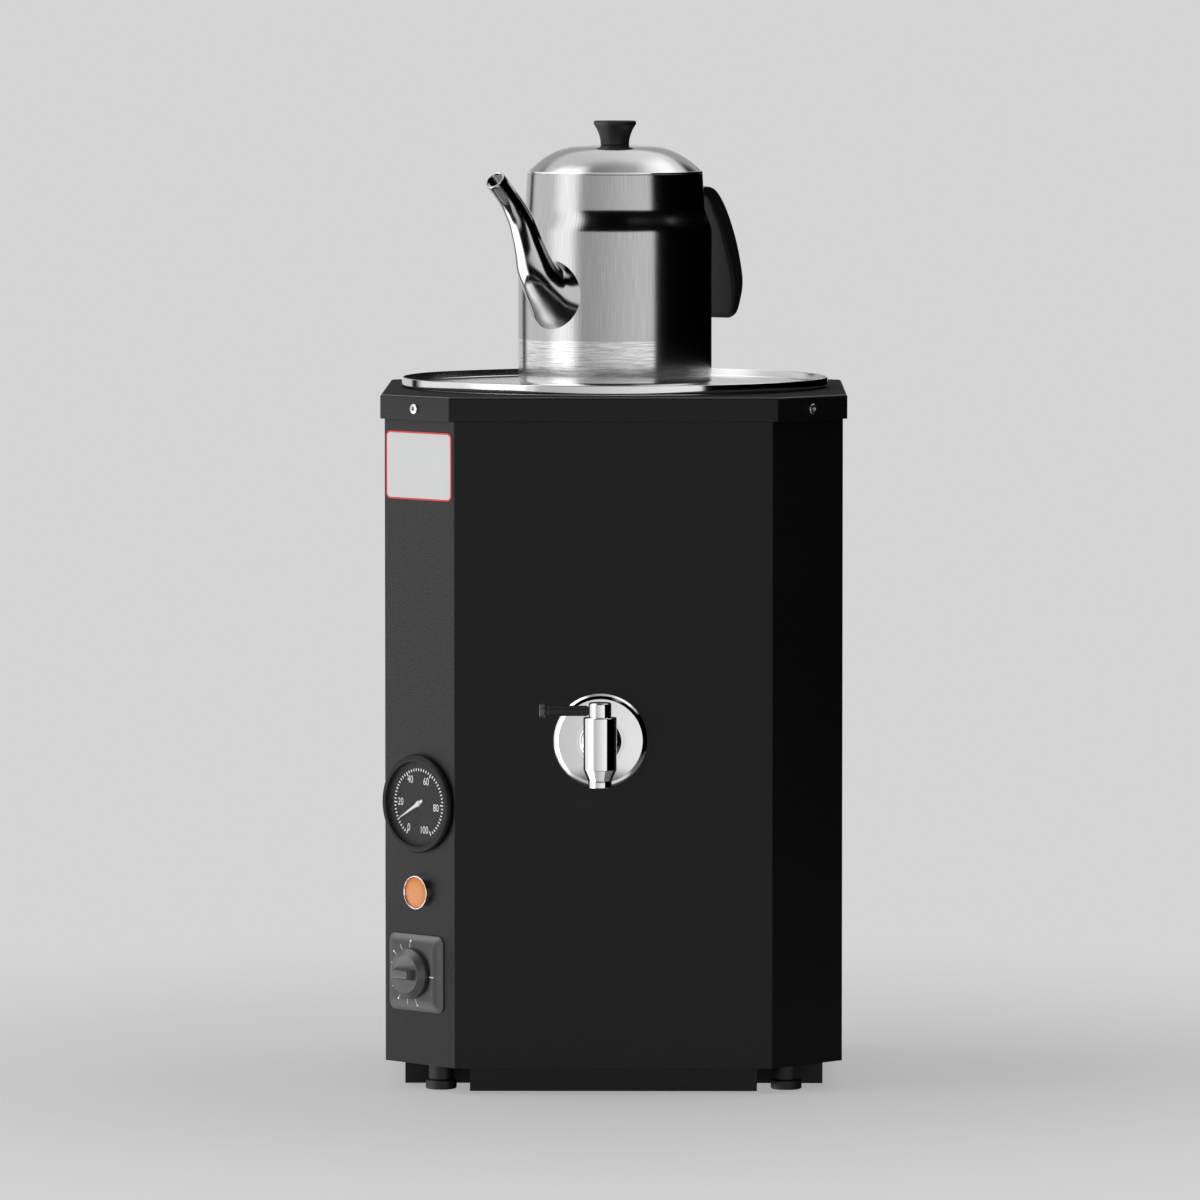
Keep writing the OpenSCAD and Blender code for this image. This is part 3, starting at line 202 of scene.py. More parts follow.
def rounded_path(corners, radius, steps=8, straight=0):
    """Points and outward normals of an anticlockwise polygon whose corners are arcs of one radius."""
    p = np.asarray(corners, float)
    run = np.roll(p, -1, 0) - p
    facing = np.unwrap(np.arctan2(-run[:, 0], run[:, 1]))
    first = np.roll(facing, 1)
    turn = (facing - first) % (2 * math.pi)
    middle = first + turn / 2
    reach = radius / np.cos(turn / 2)
    centre = p - reach[:, None] * np.stack([np.cos(middle), np.sin(middle)], 1)
    a = first[:, None] + turn[:, None] * np.linspace(0, 1, steps + 1)[None]
    normal = np.stack([np.cos(a), np.sin(a)], 2)
    bends = centre[:, None] + radius * normal
    t = np.linspace(0, 1, straight + 2)[None, 1:-1, None]
    lines = bends[:, -1:] * (1 - t) + np.roll(bends[:, :1], -1, 0) * t
    normals = np.concatenate([normal, np.repeat(normal[:, -1:], straight, 1)], 1)
    return np.concatenate([bends, lines], 1).reshape(-1, 2), normals.reshape(-1, 2)


def rectangle(width, height, radius):
    """Path round an upright rectangle about the origin, with rounded corners."""
    w, h = width / 2, height / 2
    return rounded_path([[w, -h], [w, h], [-w, h], [-w, -h]], radius)


def carry(path, section):
    """A section of (outward, up) points carried along a path: each moves out along the path's normal."""
    points, normals = path
    section = np.asarray(section, float)
    flat = points[None] + normals[None] * section[:, :1, None]
    up = np.broadcast_to(section[:, 1][:, None, None], flat.shape[:2] + (1,))
    return np.concatenate([flat, up], 2)


def sweep(path, thickness, width, power=2, sides=72):
    """Rounded sections square to a path in the x-z plane: a superellipse, which is a circle for power 2."""
    way = unit(np.gradient(path, axis=0))
    c, s = (np.sign(q) * np.abs(q) ** (2 / power) for q in circle(sides))
    off, across = thickness[:, None] * c, width[:, None] * s
    return np.stack([path[:, :1] - way[:, 1:] * off, across, path[:, 1:] + way[:, :1] * off], 2)


def skin(rings, loop=False):
    """Closed skin: quads between neighbouring rings, with fans over both ends or the ends joined."""
    count, sides, _ = rings.shape
    ids = np.arange(count * sides).reshape(count, sides)
    low, high = (ids, np.roll(ids, -1, 0)) if loop else (ids[:-1], ids[1:])
    quads = np.stack([low, np.roll(low, -1, 1), np.roll(high, -1, 1), high], 2).reshape(-1, 4)
    points = rings.reshape(-1, 3)
    fans = np.zeros((0, 3), int)
    if not loop:
        points = np.vstack([points, rings[[0, -1]].mean(1)])
        start, end = ids[0], ids[-1]
        middle = np.full(sides, count * sides)
        fans = np.vstack([
            np.stack([middle, np.roll(start, -1), start], 1),
            np.stack([middle + 1, end, np.roll(end, -1)], 1),
        ])
    triangles = np.vstack([quads[:, [0, 1, 2]], quads[:, [0, 2, 3]], fans])
    a, b, c = (points[triangles[:, i]] - points.mean(0) for i in range(3))
    inside_out = np.einsum("ij,ij->i", a, np.cross(b, c)).sum() < 0
    order = slice(None, None, -1) if inside_out else slice(None)
    return points, [quads[:, order], fans[:, order]]


def spun(sides, *stretches, loop=False):
    """A turned shell from the stretches of its side outline."""
    return skin(revolve(outline(*stretches), sides), loop)


def strips(start, end, width, height, segments=6):
    """Flat bars between start and end points, (bars, 2) each, on height(u, v): two edges by segments."""
    t = np.linspace(0, 1, segments + 1)[None, :, None]
    line = start[:, None] * (1 - t) + end[:, None] * t
    way = unit(end - start)
    side = np.stack([-way[:, 1], way[:, 0]], 1)[:, None] * (width / 2)
    edges = np.stack([line - side, line + side], 2)
    points = np.concatenate([edges, height(edges[..., 0], edges[..., 1])[..., None]], 3)
    ids = np.arange(len(start) * (segments + 1) * 2).reshape(-1, segments + 1, 2)
    quads = np.stack([ids[:, :-1, 0], ids[:, 1:, 0], ids[:, 1:, 1], ids[:, :-1, 1]], 2).reshape(-1, 4)
    return points.reshape(-1, 3), [quads]


def discs(centres, radius, height, sides=16):
    """Small round dots: a centre and a ring of points each, lying on height(u, v)."""
    ring = centres[:, None] + radius * np.stack(circle(sides), 1)
    flat = np.concatenate([centres[:, None], ring], 1)
    points = np.concatenate([flat, height(flat[..., 0], flat[..., 1])[..., None]], 2)
    first = np.arange(len(centres))[:, None] * (sides + 1)
    rim = first + 1 + np.arange(sides)[None]
    fans = np.stack([np.broadcast_to(first, rim.shape), rim, np.roll(rim, -1, 1)], 2).reshape(-1, 3)
    return points.reshape(-1, 3), [fans]


def new_object(name, data):
    """An object in the scene."""
    obj = bpy.data.objects.new(name, data)
    bpy.context.scene.collection.objects.link(obj)
    return obj


def figures(text, height, narrow):
    """Flat figures as a mesh in the x-y plane, centred, of a given height and narrowed across."""
    curve = bpy.data.curves.new("figures", "FONT")
    curve.body = text
    holder = new_object("figures", curve)
    mesh = bpy.data.meshes.new_from_object(holder.evaluated_get(bpy.context.evaluated_depsgraph_get()))
    mesh.calc_loop_triangles()
    points = np.zeros(len(mesh.vertices) * 3)
    mesh.vertices.foreach_get("co", points)
    faces = np.zeros(len(mesh.loop_triangles) * 3, int)
    mesh.loop_triangles.foreach_get("vertices", faces)
    bpy.data.objects.remove(holder)
    bpy.data.curves.remove(curve)
    bpy.data.meshes.remove(mesh)
    points = points.reshape(-1, 3)
    low, high = points.min(0), points.max(0)
    scale = height / (high[1] - low[1])
    return (points - (low + high) / 2) * np.array([scale * narrow, scale, 0]), [faces.reshape(-1, 3)]


def moved(shell, u, v, up):
    """A shell's points moved in its own frame."""
    points, faces = shell
    return points + np.array([u, v, up]), faces


def placed(shell, place):
    """A shell's points moved from a panel frame to the part's frame."""
    points, faces = shell
    origin, axes = place
    return origin + points @ axes, faces


def piece(name, body, slot, place, *shells, finish=None, stands_for=(), sharp=35):
    """One finished piece: shells in their place as a mesh in metres, smooth but for folds past an angle.

    It rides on its body, and its finish has the name of its slot unless another one is given.
    """
    shells = [placed(shell, place) for shell in shells]
    counts = np.cumsum([0] + [len(points) for points, _ in shells])
    groups = [group + first for (_, shell), first in zip(shells, counts) for group in shell]
    faces = [face for group in groups for face in group.tolist()]
    mesh = bpy.data.meshes.new(name)
    mesh.from_pydata((np.vstack([points for points, _ in shells]) / 1000).tolist(), [], faces)
    mesh.polygons.foreach_set("use_smooth", np.ones(len(faces), bool))
    mesh.set_sharp_from_angle(angle=math.radians(sharp))
    mesh.materials.append(FINISH[finish or slot])
    obj = new_object(name, mesh)
    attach(obj, body)
    if stands_for:
        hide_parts(*stands_for)
    return obj


# Finishes


class Shade:
    """A socket of a node tree. Operators add Math nodes, and node() adds any other node."""

    def __init__(self, tree, socket=None):
        self.tree, self.socket = tree, socket

    def node(self, kind, inputs=None, out=0, **settings):
        """Adds a node, sets its settings, then its sockets' values or links."""
        made = self.tree.nodes.new(kind)
        for key, value in settings.items():
            setattr(made, key, value)
        for key, value in (inputs or {}).items():
            self.feed(made.inputs[key], value)
        return Shade(self.tree, made.outputs[out])

    def feed(self, socket, value):
        """Links a socket to a shade, or sets its value."""
        if isinstance(value, Shade):
            self.tree.links.new(value.socket, socket)
        else:
            socket.default_value = value

    def math(self, operation, *values):
        """Adds a Math node on values."""
        return self.node("ShaderNodeMath", dict(enumerate(values)), operation=operation)

    def __add__(self, other):
        return self.math("ADD", self, other)

    def __sub__(self, other):
        return self.math("SUBTRACT", self, other)

    def __rsub__(self, other):
        return self.math("SUBTRACT", other, self)

    def __mul__(self, other):
        return self.math("MULTIPLY", self, other)

    __radd__ = __add__
    __rmul__ = __mul__

    def rise(self, low, high):
        """Smooth step: 0 below low and 1 above high."""
        return self.node(
            "ShaderNodeMapRange",
            {"Value": self, "From Min": low, "From Max": high},
            interpolation_type="SMOOTHSTEP",
        )

    def between(self, low, high, soft):
        """1 between low and high, with soft edges."""
        return self.rise(low - soft, low + soft) * (1 - self.rise(high - soft, high + soft))

    def mix(self, first, second):
        """Colour that goes from the first to the second as this value goes from 0 to 1."""
        return self.node("ShaderNodeMix", {0: self, 6: first, 7: second}, out=2, data_type="RGBA")

    def xyz(self):
        """The three parts of a vector."""
        made = self.node("ShaderNodeSeparateXYZ", {0: self}).socket.node
        return [Shade(self.tree, out) for out in made.outputs]

    def noise(self, scale, detail=2.0, roughness=0.5):
        """Noise at a place, from 0 to 1."""
        return self.node(
            "ShaderNodeTexNoise", {"Vector": self, "Scale": scale, "Detail": detail, "Roughness": roughness}
        )

    def stretched(self, x, y, z):
        """A vector scaled along its three axes."""
        return self.node("ShaderNodeVectorMath", {0: self, 1: (x, y, z)}, operation="MULTIPLY")

    def seen_from(self, place):
        """A vector from a place in millimetres."""
        return self.node("ShaderNodeVectorMath", {0: self, 1: tuple(place / 1000)}, operation="SUBTRACT")

    def along(self, axis):
        """Length of a vector along an axis."""
        both = {0: self, 1: tuple(axis)}
        return self.node("ShaderNodeVectorMath", both, out="Value", operation="DOT_PRODUCT")

    def length(self):
        """Length of a vector."""
        return self.node("ShaderNodeVectorMath", {0: self}, out="Value", operation="LENGTH")

    def bump(self, distance, strength=1.0):
        """Normal of a surface raised by this height, in metres at full height."""
        return self.node("ShaderNodeBump", {"Height": self, "Distance": distance, "Strength": strength})


def grey(level):
    """A grey colour."""
    return (level, level, level, 1)


def material(name, draw, **fixed):
    """A material whose draw(where, put) feeds varying sockets, with fixed values on the others."""
    made = bpy.data.materials.new(name)
    made.use_nodes = True
    tree = made.node_tree
    shader = tree.nodes["Principled BSDF"]
    for key, value in fixed.items():
        shader.inputs[key.replace("_", " ")].default_value = value
    base = Shade(tree)
    where = base.node("ShaderNodeTexCoord", out="Object")

    def put(socket, value):
        base.feed(shader.inputs[socket], value)

    draw(where, put)
    return made


def coat(where, put):
    """Black powder coat: a fine leathery grain drawn out level, dull on the cover, and a painted highlight
    along the bend of its top edge.
    """
    grain = where.stretched(1, 1, 2.2).noise(500, 4, 0.65)
    cloud = where.noise(9, 2)
    _, _, z = where.xyz()
    top = z.rise((COVER_HIGH[2] - 0.4) / 1000, COVER_HIGH[2] / 1000)
    # Painted highlight: a thin band just under the cover's top bend lightens to grey 0.12, flecked by the
    # grain
    edge_highlight = z.between((COVER_HIGH[2] - 0.8) / 1000, (COVER_HIGH[2] - 0.25) / 1000, 0.0002)
    black = cloud.mix(grey(0.0045), grey(0.0065))
    put("Base Color", (edge_highlight * (0.6 + 0.4 * grain)).mix(black, grey(0.12)))
    put("Roughness", 0.30 + 0.16 * grain + 0.6 * top)
    put("Normal", grain.bump(0.0005, 0.6))


def round_axis(where):
    """Angle about the urn's axis, distance from it, and height."""
    x, y, z = where.seen_from(AXIS).xyz()
    return x.math("ARCTAN2", y, x), x.math("SQRT", x * x + y * y), z


def pot_steel(where, put):
    """Brushed steel of the pot: upright lines, level lines in a band near the base, and a painted highlight
    on the base edge below it.
    """
    angle, _, z = round_axis(where)
    low = (POT_Z + BAND_LOW) / 1000
    band = z.between(low, (POT_Z + BAND_HIGH) / 1000, 0.0004)
    # Painted highlight: below the band the colour rises to grey 0.95 on the rounded base edge
    foot = 1 - z.rise(low - 0.0004, low + 0.0004)
    upright = where.node("ShaderNodeCombineXYZ", {0: angle * 130.0, 1: z * 30.0}).noise(1.0, 4, 0.65)
    level = where.node("ShaderNodeCombineXYZ", {0: angle * 4.0, 1: z * 1000.0}).noise(1.0, 4, 0.65)
    fine = upright.rise(0.25, 0.75).mix(grey(0.43), grey(0.54))
    coarse = level.rise(0.3, 0.7).mix(grey(0.47), grey(0.87))
    put("Base Color", foot.mix(band.mix(fine, coarse), grey(0.95)))
    put("Roughness", 0.12 + 0.06 * upright)
    put("Normal", (upright * (1 - band)).bump(0.00003, 0.6))


def turning_marks(where, radius):
    """Fine rings round the urn's axis."""
    return where.node("ShaderNodeCombineXYZ", {0: radius * 1500.0}).noise(1.0, 3, 0.6)


def sheet_steel(where, put):
    """Lid steel: turning marks round the axis, duller inside the rim."""
    _, radius, _ = round_axis(where)
    marks = turning_marks(where, radius)
    inside = 1 - radius.rise((LID_HIGH[0] - 0.9) / 1000, (LID_HIGH[0] - 0.6) / 1000)
    put("Base Color", inside.mix(marks.mix(grey(0.74), grey(0.80)), marks.mix(grey(0.58), grey(0.64))))
    put("Roughness", 0.06 + 0.05 * marks + 0.09 * inside)
    put("Normal", marks.bump(0.00002, 0.3))


def dome_steel(where, put):
    """Satin steel of the teapot's lid: turning marks round the axis and a painted highlight on its rim."""
    _, radius, _ = round_axis(where)
    marks = turning_marks(where, radius)
    # Painted highlight: the colour rises to grey 0.92 over the outer edge of the rim
    rim = radius.rise((DOME_RIM_R - 0.8) / 1000, (DOME_RIM_R - 0.5) / 1000)
    put("Base Color", rim.mix(marks.mix(grey(0.54), grey(0.60)), grey(0.92)))
    put("Roughness", 0.10 + 0.06 * marks)
    put("Normal", marks.bump(0.00002, 0.3))


def mottled(scale, first, second, gloss, spread, detail=3):
    """A finish whose colour and roughness both wander between two values with one noise."""

    def draw(where, put):
        cloud = where.noise(scale, detail)
        put("Base Color", cloud.mix(first, second))
        put("Roughness", gloss + spread * cloud)

    return draw


def moulding(dark, light, gloss, highlight_mask=None):
    """A moulded plastic between two greys with a fine spark-eroded grain, and a painted highlight where a
    mask is given.
    """

    def draw(where, put):
        grain = where.noise(2600, 2)
        colour = where.noise(70, 2).mix(grey(dark), grey(light))
        # Painted highlight: where the mask is 1 the colour lightens to grey 0.13
        put("Base Color", highlight_mask(where).mix(colour, grey(0.13)) if highlight_mask else colour)
        put("Roughness", gloss + 0.12 * grain)
        put("Normal", grain.bump(0.00004, 0.35))

    return draw


def plate_edge(where):
    """Mask of the painted highlight: 1 along the rolled edge of the thermostat's plate, by the greater
    distance across or up.
    """
    origin, axes = PLATE_PLACE
    off = where.seen_from(origin)
    u, v = off.along(axes[0]), off.along(axes[1])
    return off.math("MAXIMUM", u.math("ABSOLUTE", u), v.math("ABSOLUTE", v)).rise(0.0205, 0.0245)


def amber(where, put):
    """Orange lens: peach over the lit middle, deeper towards its edge, over a fine prism grid."""
    origin, axes = LAMP_PLACE
    away = where.seen_from(origin + axes[2] * LAMP_FACE).length()
    rim = away.rise(0.0045, 0.0098)
    prism = where.noise(900, 2)
    put("Base Color", rim.mix((0.62, 0.25, 0.09, 1), (0.58, 0.15, 0.01, 1)))
    put("Emission Color", rim.mix((0.9, 0.42, 0.16, 1), (0.85, 0.26, 0.02, 1)))
    put("Roughness", 0.22 + 0.1 * prism)
    put("Normal", prism.bump(0.00005, 0.3))


def clear(where, put):
    """Thin glass with a trace of dust."""
    dust = where.noise(300, 3)
    put("Roughness", 0.03 + 0.05 * dust)
    put("Alpha", 0.015 + 0.01 * dust)


def wool(where, put):
    """Tufts of insulation."""
    tuft = where.noise(160, 6, 0.7)
    put("Base Color", tuft.mix((0.52, 0.44, 0.20, 1), (0.78, 0.70, 0.44, 1)))
    put("Normal", tuft.bump(0.003, 0.8))


FINISH = {
    "coat": material("powder_coat", coat, Specular_IOR_Level=0.33, Specular_Tint=(1.0, 0.94, 1.0, 1.0)),
    "steel": material("lid_steel", sheet_steel, Metallic=1.0),
    "pot": material("brushed_pot_steel", pot_steel, Metallic=1.0),
    "dome": material("satin_dome_steel", dome_steel, Metallic=1.0),
    "polished": material("polished_steel", mottled(60, grey(0.50), grey(0.56), 0.10, 0.05), Metallic=1.0),
    "tap_chrome": material("chrome_plate", mottled(90, grey(0.83), grey(0.89), 0.03, 0.05), Metallic=1.0),
    "screw": material("bright_zinc", mottled(400, grey(0.58), grey(0.72), 0.2, 0.15), Metallic=1.0),
    "black_plastic": material("black_moulding", moulding(0.009, 0.013, 0.42)),
    "dark_plastic": material("dark_moulding", moulding(0.005, 0.007, 0.45), Specular_IOR_Level=0.4),
    "grey_plastic": material("grey_moulding", moulding(0.056, 0.066, 0.32), Specular_IOR_Level=0.9),
    # The plate's rolled edge gets a painted highlight
    "plate": material("plate_moulding", moulding(0.034, 0.042, 0.27, plate_edge), Specular_IOR_Level=0.6),
    "bezel": material("bezel_moulding", moulding(0.010, 0.014, 0.34), Specular_IOR_Level=0.2),
    "dial": material("dial_grey", moulding(0.012, 0.016, 0.55), Specular_IOR_Level=0.3),
    "needle": material(
        "white_enamel", mottled(700, (0.80, 0.80, 0.78, 1), (0.88, 0.88, 0.87, 1), 0.35, 0.15)
    ),
    "clear": material("clear_glass", clear, Base_Color=grey(0.3)),
    "amber": material("amber_lens", amber, Emission_Strength=0.15),
    "rubber": material("black_rubber", moulding(0.018, 0.028, 0.65)),
    "brass": material(
        "machined_brass", mottled(500, (0.52, 0.37, 0.14, 1), (0.66, 0.49, 0.21, 1), 0.25, 0.15), Metallic=1.0
    ),
    "wool": material("glass_wool", wool, Roughness=0.95),
    "ceramic": material(
        "glazed_ceramic", mottled(120, (0.72, 0.71, 0.67, 1), (0.80, 0.79, 0.76, 1), 0.2, 0.1, 2)
    ),
    "badge": material(
        "badge_white", mottled(35, (0.58, 0.585, 0.585, 1), (0.62, 0.625, 0.625, 1), 0.30, 0.1)
    ),
    "badge_red": material(
        "badge_red", mottled(500, (0.62, 0.030, 0.022, 1), (0.72, 0.045, 0.030, 1), 0.32, 0.1)
    ),
}

for row in frame["record"]["subparts"]:
    mesh = frame["nodes"][row["node"]].data
    mesh.materials.clear()
    mesh.materials.append(FINISH[row["material_slot"]])


# Casing, cover and feet

FOLD = 2.0
SHEET = 1.2
WINDOW_EDGE = 20
WINDOW_HALF_W = HALF_W - CORNER_CUT - WINDOW_EDGE
SKIRT_OFF = 2.9
COVER_CUT = 47.5
COVER_OPENING = 134.1
RIVET_R = 3.5
RIVET_H = 1.2
RIVET_EDGE = 0.7
RIVET_HOLE = 1.35
FOOT_R = 10.5
FOOT_NECK = 8.5
FOOT_BASE = 6.5
FOOT_ROUND = 1.2
FOOT_BREAK = 0.4
FOOT_RECESS_R = 3.8
FOOT_RECESS = 4.6
FEET = ("foot_front_left", "foot_front_right", "foot_rear_left", "foot_rear_right")
BADGE_Z = 423.6
BADGE_W = 64
BADGE_H = 46
BADGE_ROUND = 4
BADGE_BORDER = 1.1
BADGE_BREAK = 0.1


def octagon(half, cut):
    """Corners of a square with its corners cut off, anticlockwise."""
    h, k = half, half - cut
    return [[k, -h], [h, -k], [h, k], [k, h], [-k, h], [-h, k], [-h, -k], [-k, -h]]


def casing():
    """Folded wall: the sheet's upright section carried round the octagon, with a window in the back wall."""
    low, high = CASING_LOW[2], CASING_HIGH[2]
    points, normals = rounded_path(octagon(HALF_W, CORNER_CUT), FOLD)
    half = len(points) // 2
    ends = np.array([[-WINDOW_HALF_W, HALF_W], [WINDOW_HALF_W, HALF_W]])
    out = np.array([[0, 1], [0, 1]])
    fold = (
        np.vstack([ends[:1], np.roll(points, -half, 0), ends[1:]]),
        np.vstack([out[:1], np.roll(normals, -half, 0), out[1:]]),
    )
    shells = []
    for path, bottom, top in (
        (fold, low, high),
        ((ends, out), low, low + WINDOW_EDGE),
        ((ends, out), high - WINDOW_EDGE, high),
    ):
        section = [[0, bottom], [0, top], [-SHEET, top], [-SHEET, bottom]]
        shells.append(skin(np.swapaxes(carry(path, section), 0, 1)))
    piece("casing_wall", "urn", "coat", on_axis(0), *shells, stands_for=["casing_shell"])


def cover():
    """Pressed cover: a skirt and a soft bend carried round the octagon, and a flat top in to a round hole."""
    low, top = COVER_LOW[2], COVER_HIGH[2]
    path = rounded_path(octagon(HALF_W + SKIRT_OFF, COVER_CUT), FOLD, straight=12)
    skirt = carry(path, outline([[-SHEET, low], [-BREAK, low], [0, low + BREAK]], edge(0, top, FOLD)))
    under = carry(path, [[-SHEET, top - SHEET]])
    ring = COVER_OPENING * unit(path[0])
    hole = np.stack([np.column_stack([ring, np.full(len(ring), z)]) for z in (top, top - SHEET)])
    shell = skin(np.concatenate([skirt, hole, under]), loop=True)
    piece("cover_sheet", "urn", "coat", on_axis(0), shell, stands_for=["top_cover"])


def rivets():
    """Flat blind rivets with a hole in the middle: a turned outline on each corner of the cover."""
    out = (2 * (HALF_W + SKIRT_OFF) - COVER_CUT) / math.sqrt(2) - CORNER_FACE
    shell = spun(
        48,
        [[0.3, 0.05], [RIVET_HOLE, 0.05], [RIVET_HOLE, RIVET_H], [RIVET_HOLE + 0.15, RIVET_H + 0.12]],
        edge(RIVET_R, RIVET_H, RIVET_EDGE, 75, 0, 6),
        [[RIVET_R, -0.1]],
    )
    shell = moved(shell, 0, 0, out)
    heads = [placed(shell, on_corner(0, RIVET_Z, turn)) for turn in (0, 90, 180, 270)]
    piece("rivet_heads", "urn", "screw", PART, *heads, stands_for=["cover_rivets"])


def feet():
    """Turned feet: a rounded base under a narrower neck, with the screw's recess below."""
    shell = spun(
        64,
        [[1, FOOT_RECESS], [FOOT_RECESS_R, FOOT_RECESS]],
        [[FOOT_RECESS_R, FOOT_BREAK], [FOOT_RECESS_R + FOOT_BREAK, 0]],
        arc(FOOT_R - FOOT_ROUND, FOOT_ROUND, FOOT_ROUND, -90, 0),
        edge(FOOT_R, FOOT_BASE, FOOT_ROUND),
        [[FOOT_NECK + FOOT_BREAK, FOOT_BASE], [FOOT_NECK, FOOT_BASE + FOOT_BREAK]],
        [[FOOT_NECK, CASING_LOW[2]], [1, CASING_LOW[2]]],
    )
    for name in FEET:
        place = middle_of(name) * np.array([1, 1, 0]), UPRIGHT
        piece(name + "_turned", "urn", "black_plastic", place, shell, stands_for=[name])


def badge():
    """Bare plate with a border on the left front corner face: two rounded sheets, one on the other."""
    for name, finish, inset, low, high in (
        ("badge_border", "badge_red", 0, 0, 0.5),
        ("badge_face", "badge", BADGE_BORDER, 0.3, 0.62),
    ):
        path = rectangle(BADGE_W - 2 * inset, BADGE_H - 2 * inset, BADGE_ROUND - inset)
        shell = skin(carry(path, [[0, low], [0, high - BADGE_BREAK], [-BADGE_BREAK, high]]))
        piece(name, "urn", "needle", on_corner(0, BADGE_Z), shell, finish=finish)


casing()
cover()
rivets()
feet()
badge()


# Back: screws with a cross recess and the cable inlet

SCREW_X = (-97, 97)
SCREW_Z = (54.2, 244, 424.8)
SCREW_HEAD_R = 4.0
SCREW_HEAD_H = 2.2
SCREW_ROUND = 1.4
CROSS_HALF_W = 0.55
CROSS_HALF_L = 2.1
CROSS_DEEP = 1.3
INLET_FLATS = 22
INLET_CORNER = 1.2
INLET_FLANGE = 5
INLET_THREAD_R = 8
INLET_THREAD_L = 6
INLET_BORE = 4.5
INLET_NOSE_R = 10.4
INLET_NOSE_ROUND = 4
INLET_L = 16


def back_screws():
    """Pan heads: a dome on a polar grid, lowered where it lies inside a cross."""
    rings = revolve(outline(
        [[SCREW_HEAD_R, 0]],
        edge(SCREW_HEAD_R, SCREW_HEAD_H, SCREW_ROUND),
        np.stack([np.linspace(2.5, 0.1, 14), np.full(14, SCREW_HEAD_H)], 1),
    ), 64)
    x, y = np.abs(rings[..., 0]), np.abs(rings[..., 1])
    bar, crossbar = (x < CROSS_HALF_W) & (y < CROSS_HALF_L), (y < CROSS_HALF_W) & (x < CROSS_HALF_L)
    rings[..., 2] -= CROSS_DEEP * np.maximum(bar, crossbar)
    shell = skin(rings)
    heads = [placed(shell, on_rear(x, z)) for x in SCREW_X for z in SCREW_Z]
    piece("rear_screw_heads", "urn", "screw", PART, *heads, stands_for=["rear_screws"])


def cable_inlet():
    """Hexagon flange carried round its corners, and a turned nose with a bore."""
    x, _, z = middle_of("cable_gland")
    corners = polar(INLET_FLATS / math.sqrt(3), np.arange(0, 360, 60))
    profile = [[-0.4, 0], [0, 0.4], [0, INLET_FLANGE - 0.4], [-0.5, INLET_FLANGE]]
    hexagon = skin(carry(rounded_path(corners, INLET_CORNER, 4), profile))
    nose = spun(
        96,
        [[INLET_BORE, -INLET_THREAD_L], [INLET_THREAD_R, -INLET_THREAD_L], [INLET_THREAD_R, 0]],
        [[INLET_NOSE_R, INLET_FLANGE]],
        edge(INLET_NOSE_R, INLET_L, INLET_NOSE_ROUND),
        [[INLET_BORE + 0.5, INLET_L], [INLET_BORE, INLET_L - 0.5]],
        loop=True,
    )
    piece("cable_inlet", "urn", "black_plastic", on_rear(x, z), hexagon, nose, stands_for=["cable_gland"])


back_screws()
cable_inlet()


# Tank lid

STEAM_R = 50
STEAM_LIP = 6
STEAM_BEND = 1.2
LID_T = 1
LID_BEND = 0.8


def lid_tray():
    """Spun tray: a lip turned down round the steam hole, a flat floor and an upright rim with a round top."""
    out, top = LID_HIGH[0], LID_HIGH[2]
    floor_z = LID_LOW[2]
    under = floor_z - LID_T
    shell = spun(
        256,
        [[STEAM_R, under - STEAM_LIP], [STEAM_R + LID_T, under - STEAM_LIP], [STEAM_R + LID_T, under]],
        arc(out - LID_BEND, under + LID_BEND, LID_BEND, -90, 0, 6),
        edge(out, top, LID_T / 2, 0, 180),
        arc(out - LID_T - LID_BEND, floor_z + LID_BEND, LID_BEND, 0, -90, 6),
        arc(STEAM_R + STEAM_BEND, floor_z - STEAM_BEND, STEAM_BEND, 90, 180, 6),
        loop=True,
    )
    piece("lid_tray", "lid", "steel", on_axis(0), shell, stands_for=["tank_lid", "lid_rim"])


lid_tray()


# Teapot

POT_WALL = 1.0
POT_EDGE = 3.2
MOUTH_R = 60.3
NECK_DROP = 1.2
SHOULDER_LOW = 104
SHOULDER_HIGH = 123
DOME_RIM_H = 1.4
DOME_RIM_ROUND = 0.6
DOME_H = 19.3
DOME_T = 1
DOME_FALL = 2.4
DOME_FLAT_R = 20
CROWN_H = 0.8
CROWN_R = 10.3
DOME_SKIRT_R = 58.8
DOME_SKIRT = 8
KNOB_FOOT_R = 9.8
KNOB_TOP_R = 14.6
KNOB_H = 16.5
KNOB_ROUND = 1.2
HANDLE_W = 27
HANDLE_ROUND = 6
HANDLE_SQUARENESS = 9
SPOUT_ROOT = 28
SPOUT_WALL = 1

# Stations: distance from the pot's wall, height above its base, and the radius or half the thickness
SPOUT = [
    [-0.4, 63, 24.1], [3, 64, 20.8], [7, 68, 17.4], [12, 75, 14.8], [17.2, 84, 12.8],
    [22, 97, 10.4], [28.5, 111.5, 9], [35.5, 121.5, 8], [43, 130, 7.3], [56, 142, 7.1],
]
HANDLE = [
    [4, 131, 2.9], [13.5, 131.2, 3.4], [21.5, 128, 5.2], [29.5, 118, 6.2], [38, 102, 6.3],
    [44.3, 85, 6.2], [48.3, 68, 5.6], [47, 55.5, 4.2], [44, 45, 2.2], [43.2, 43.4, 0.8],
]


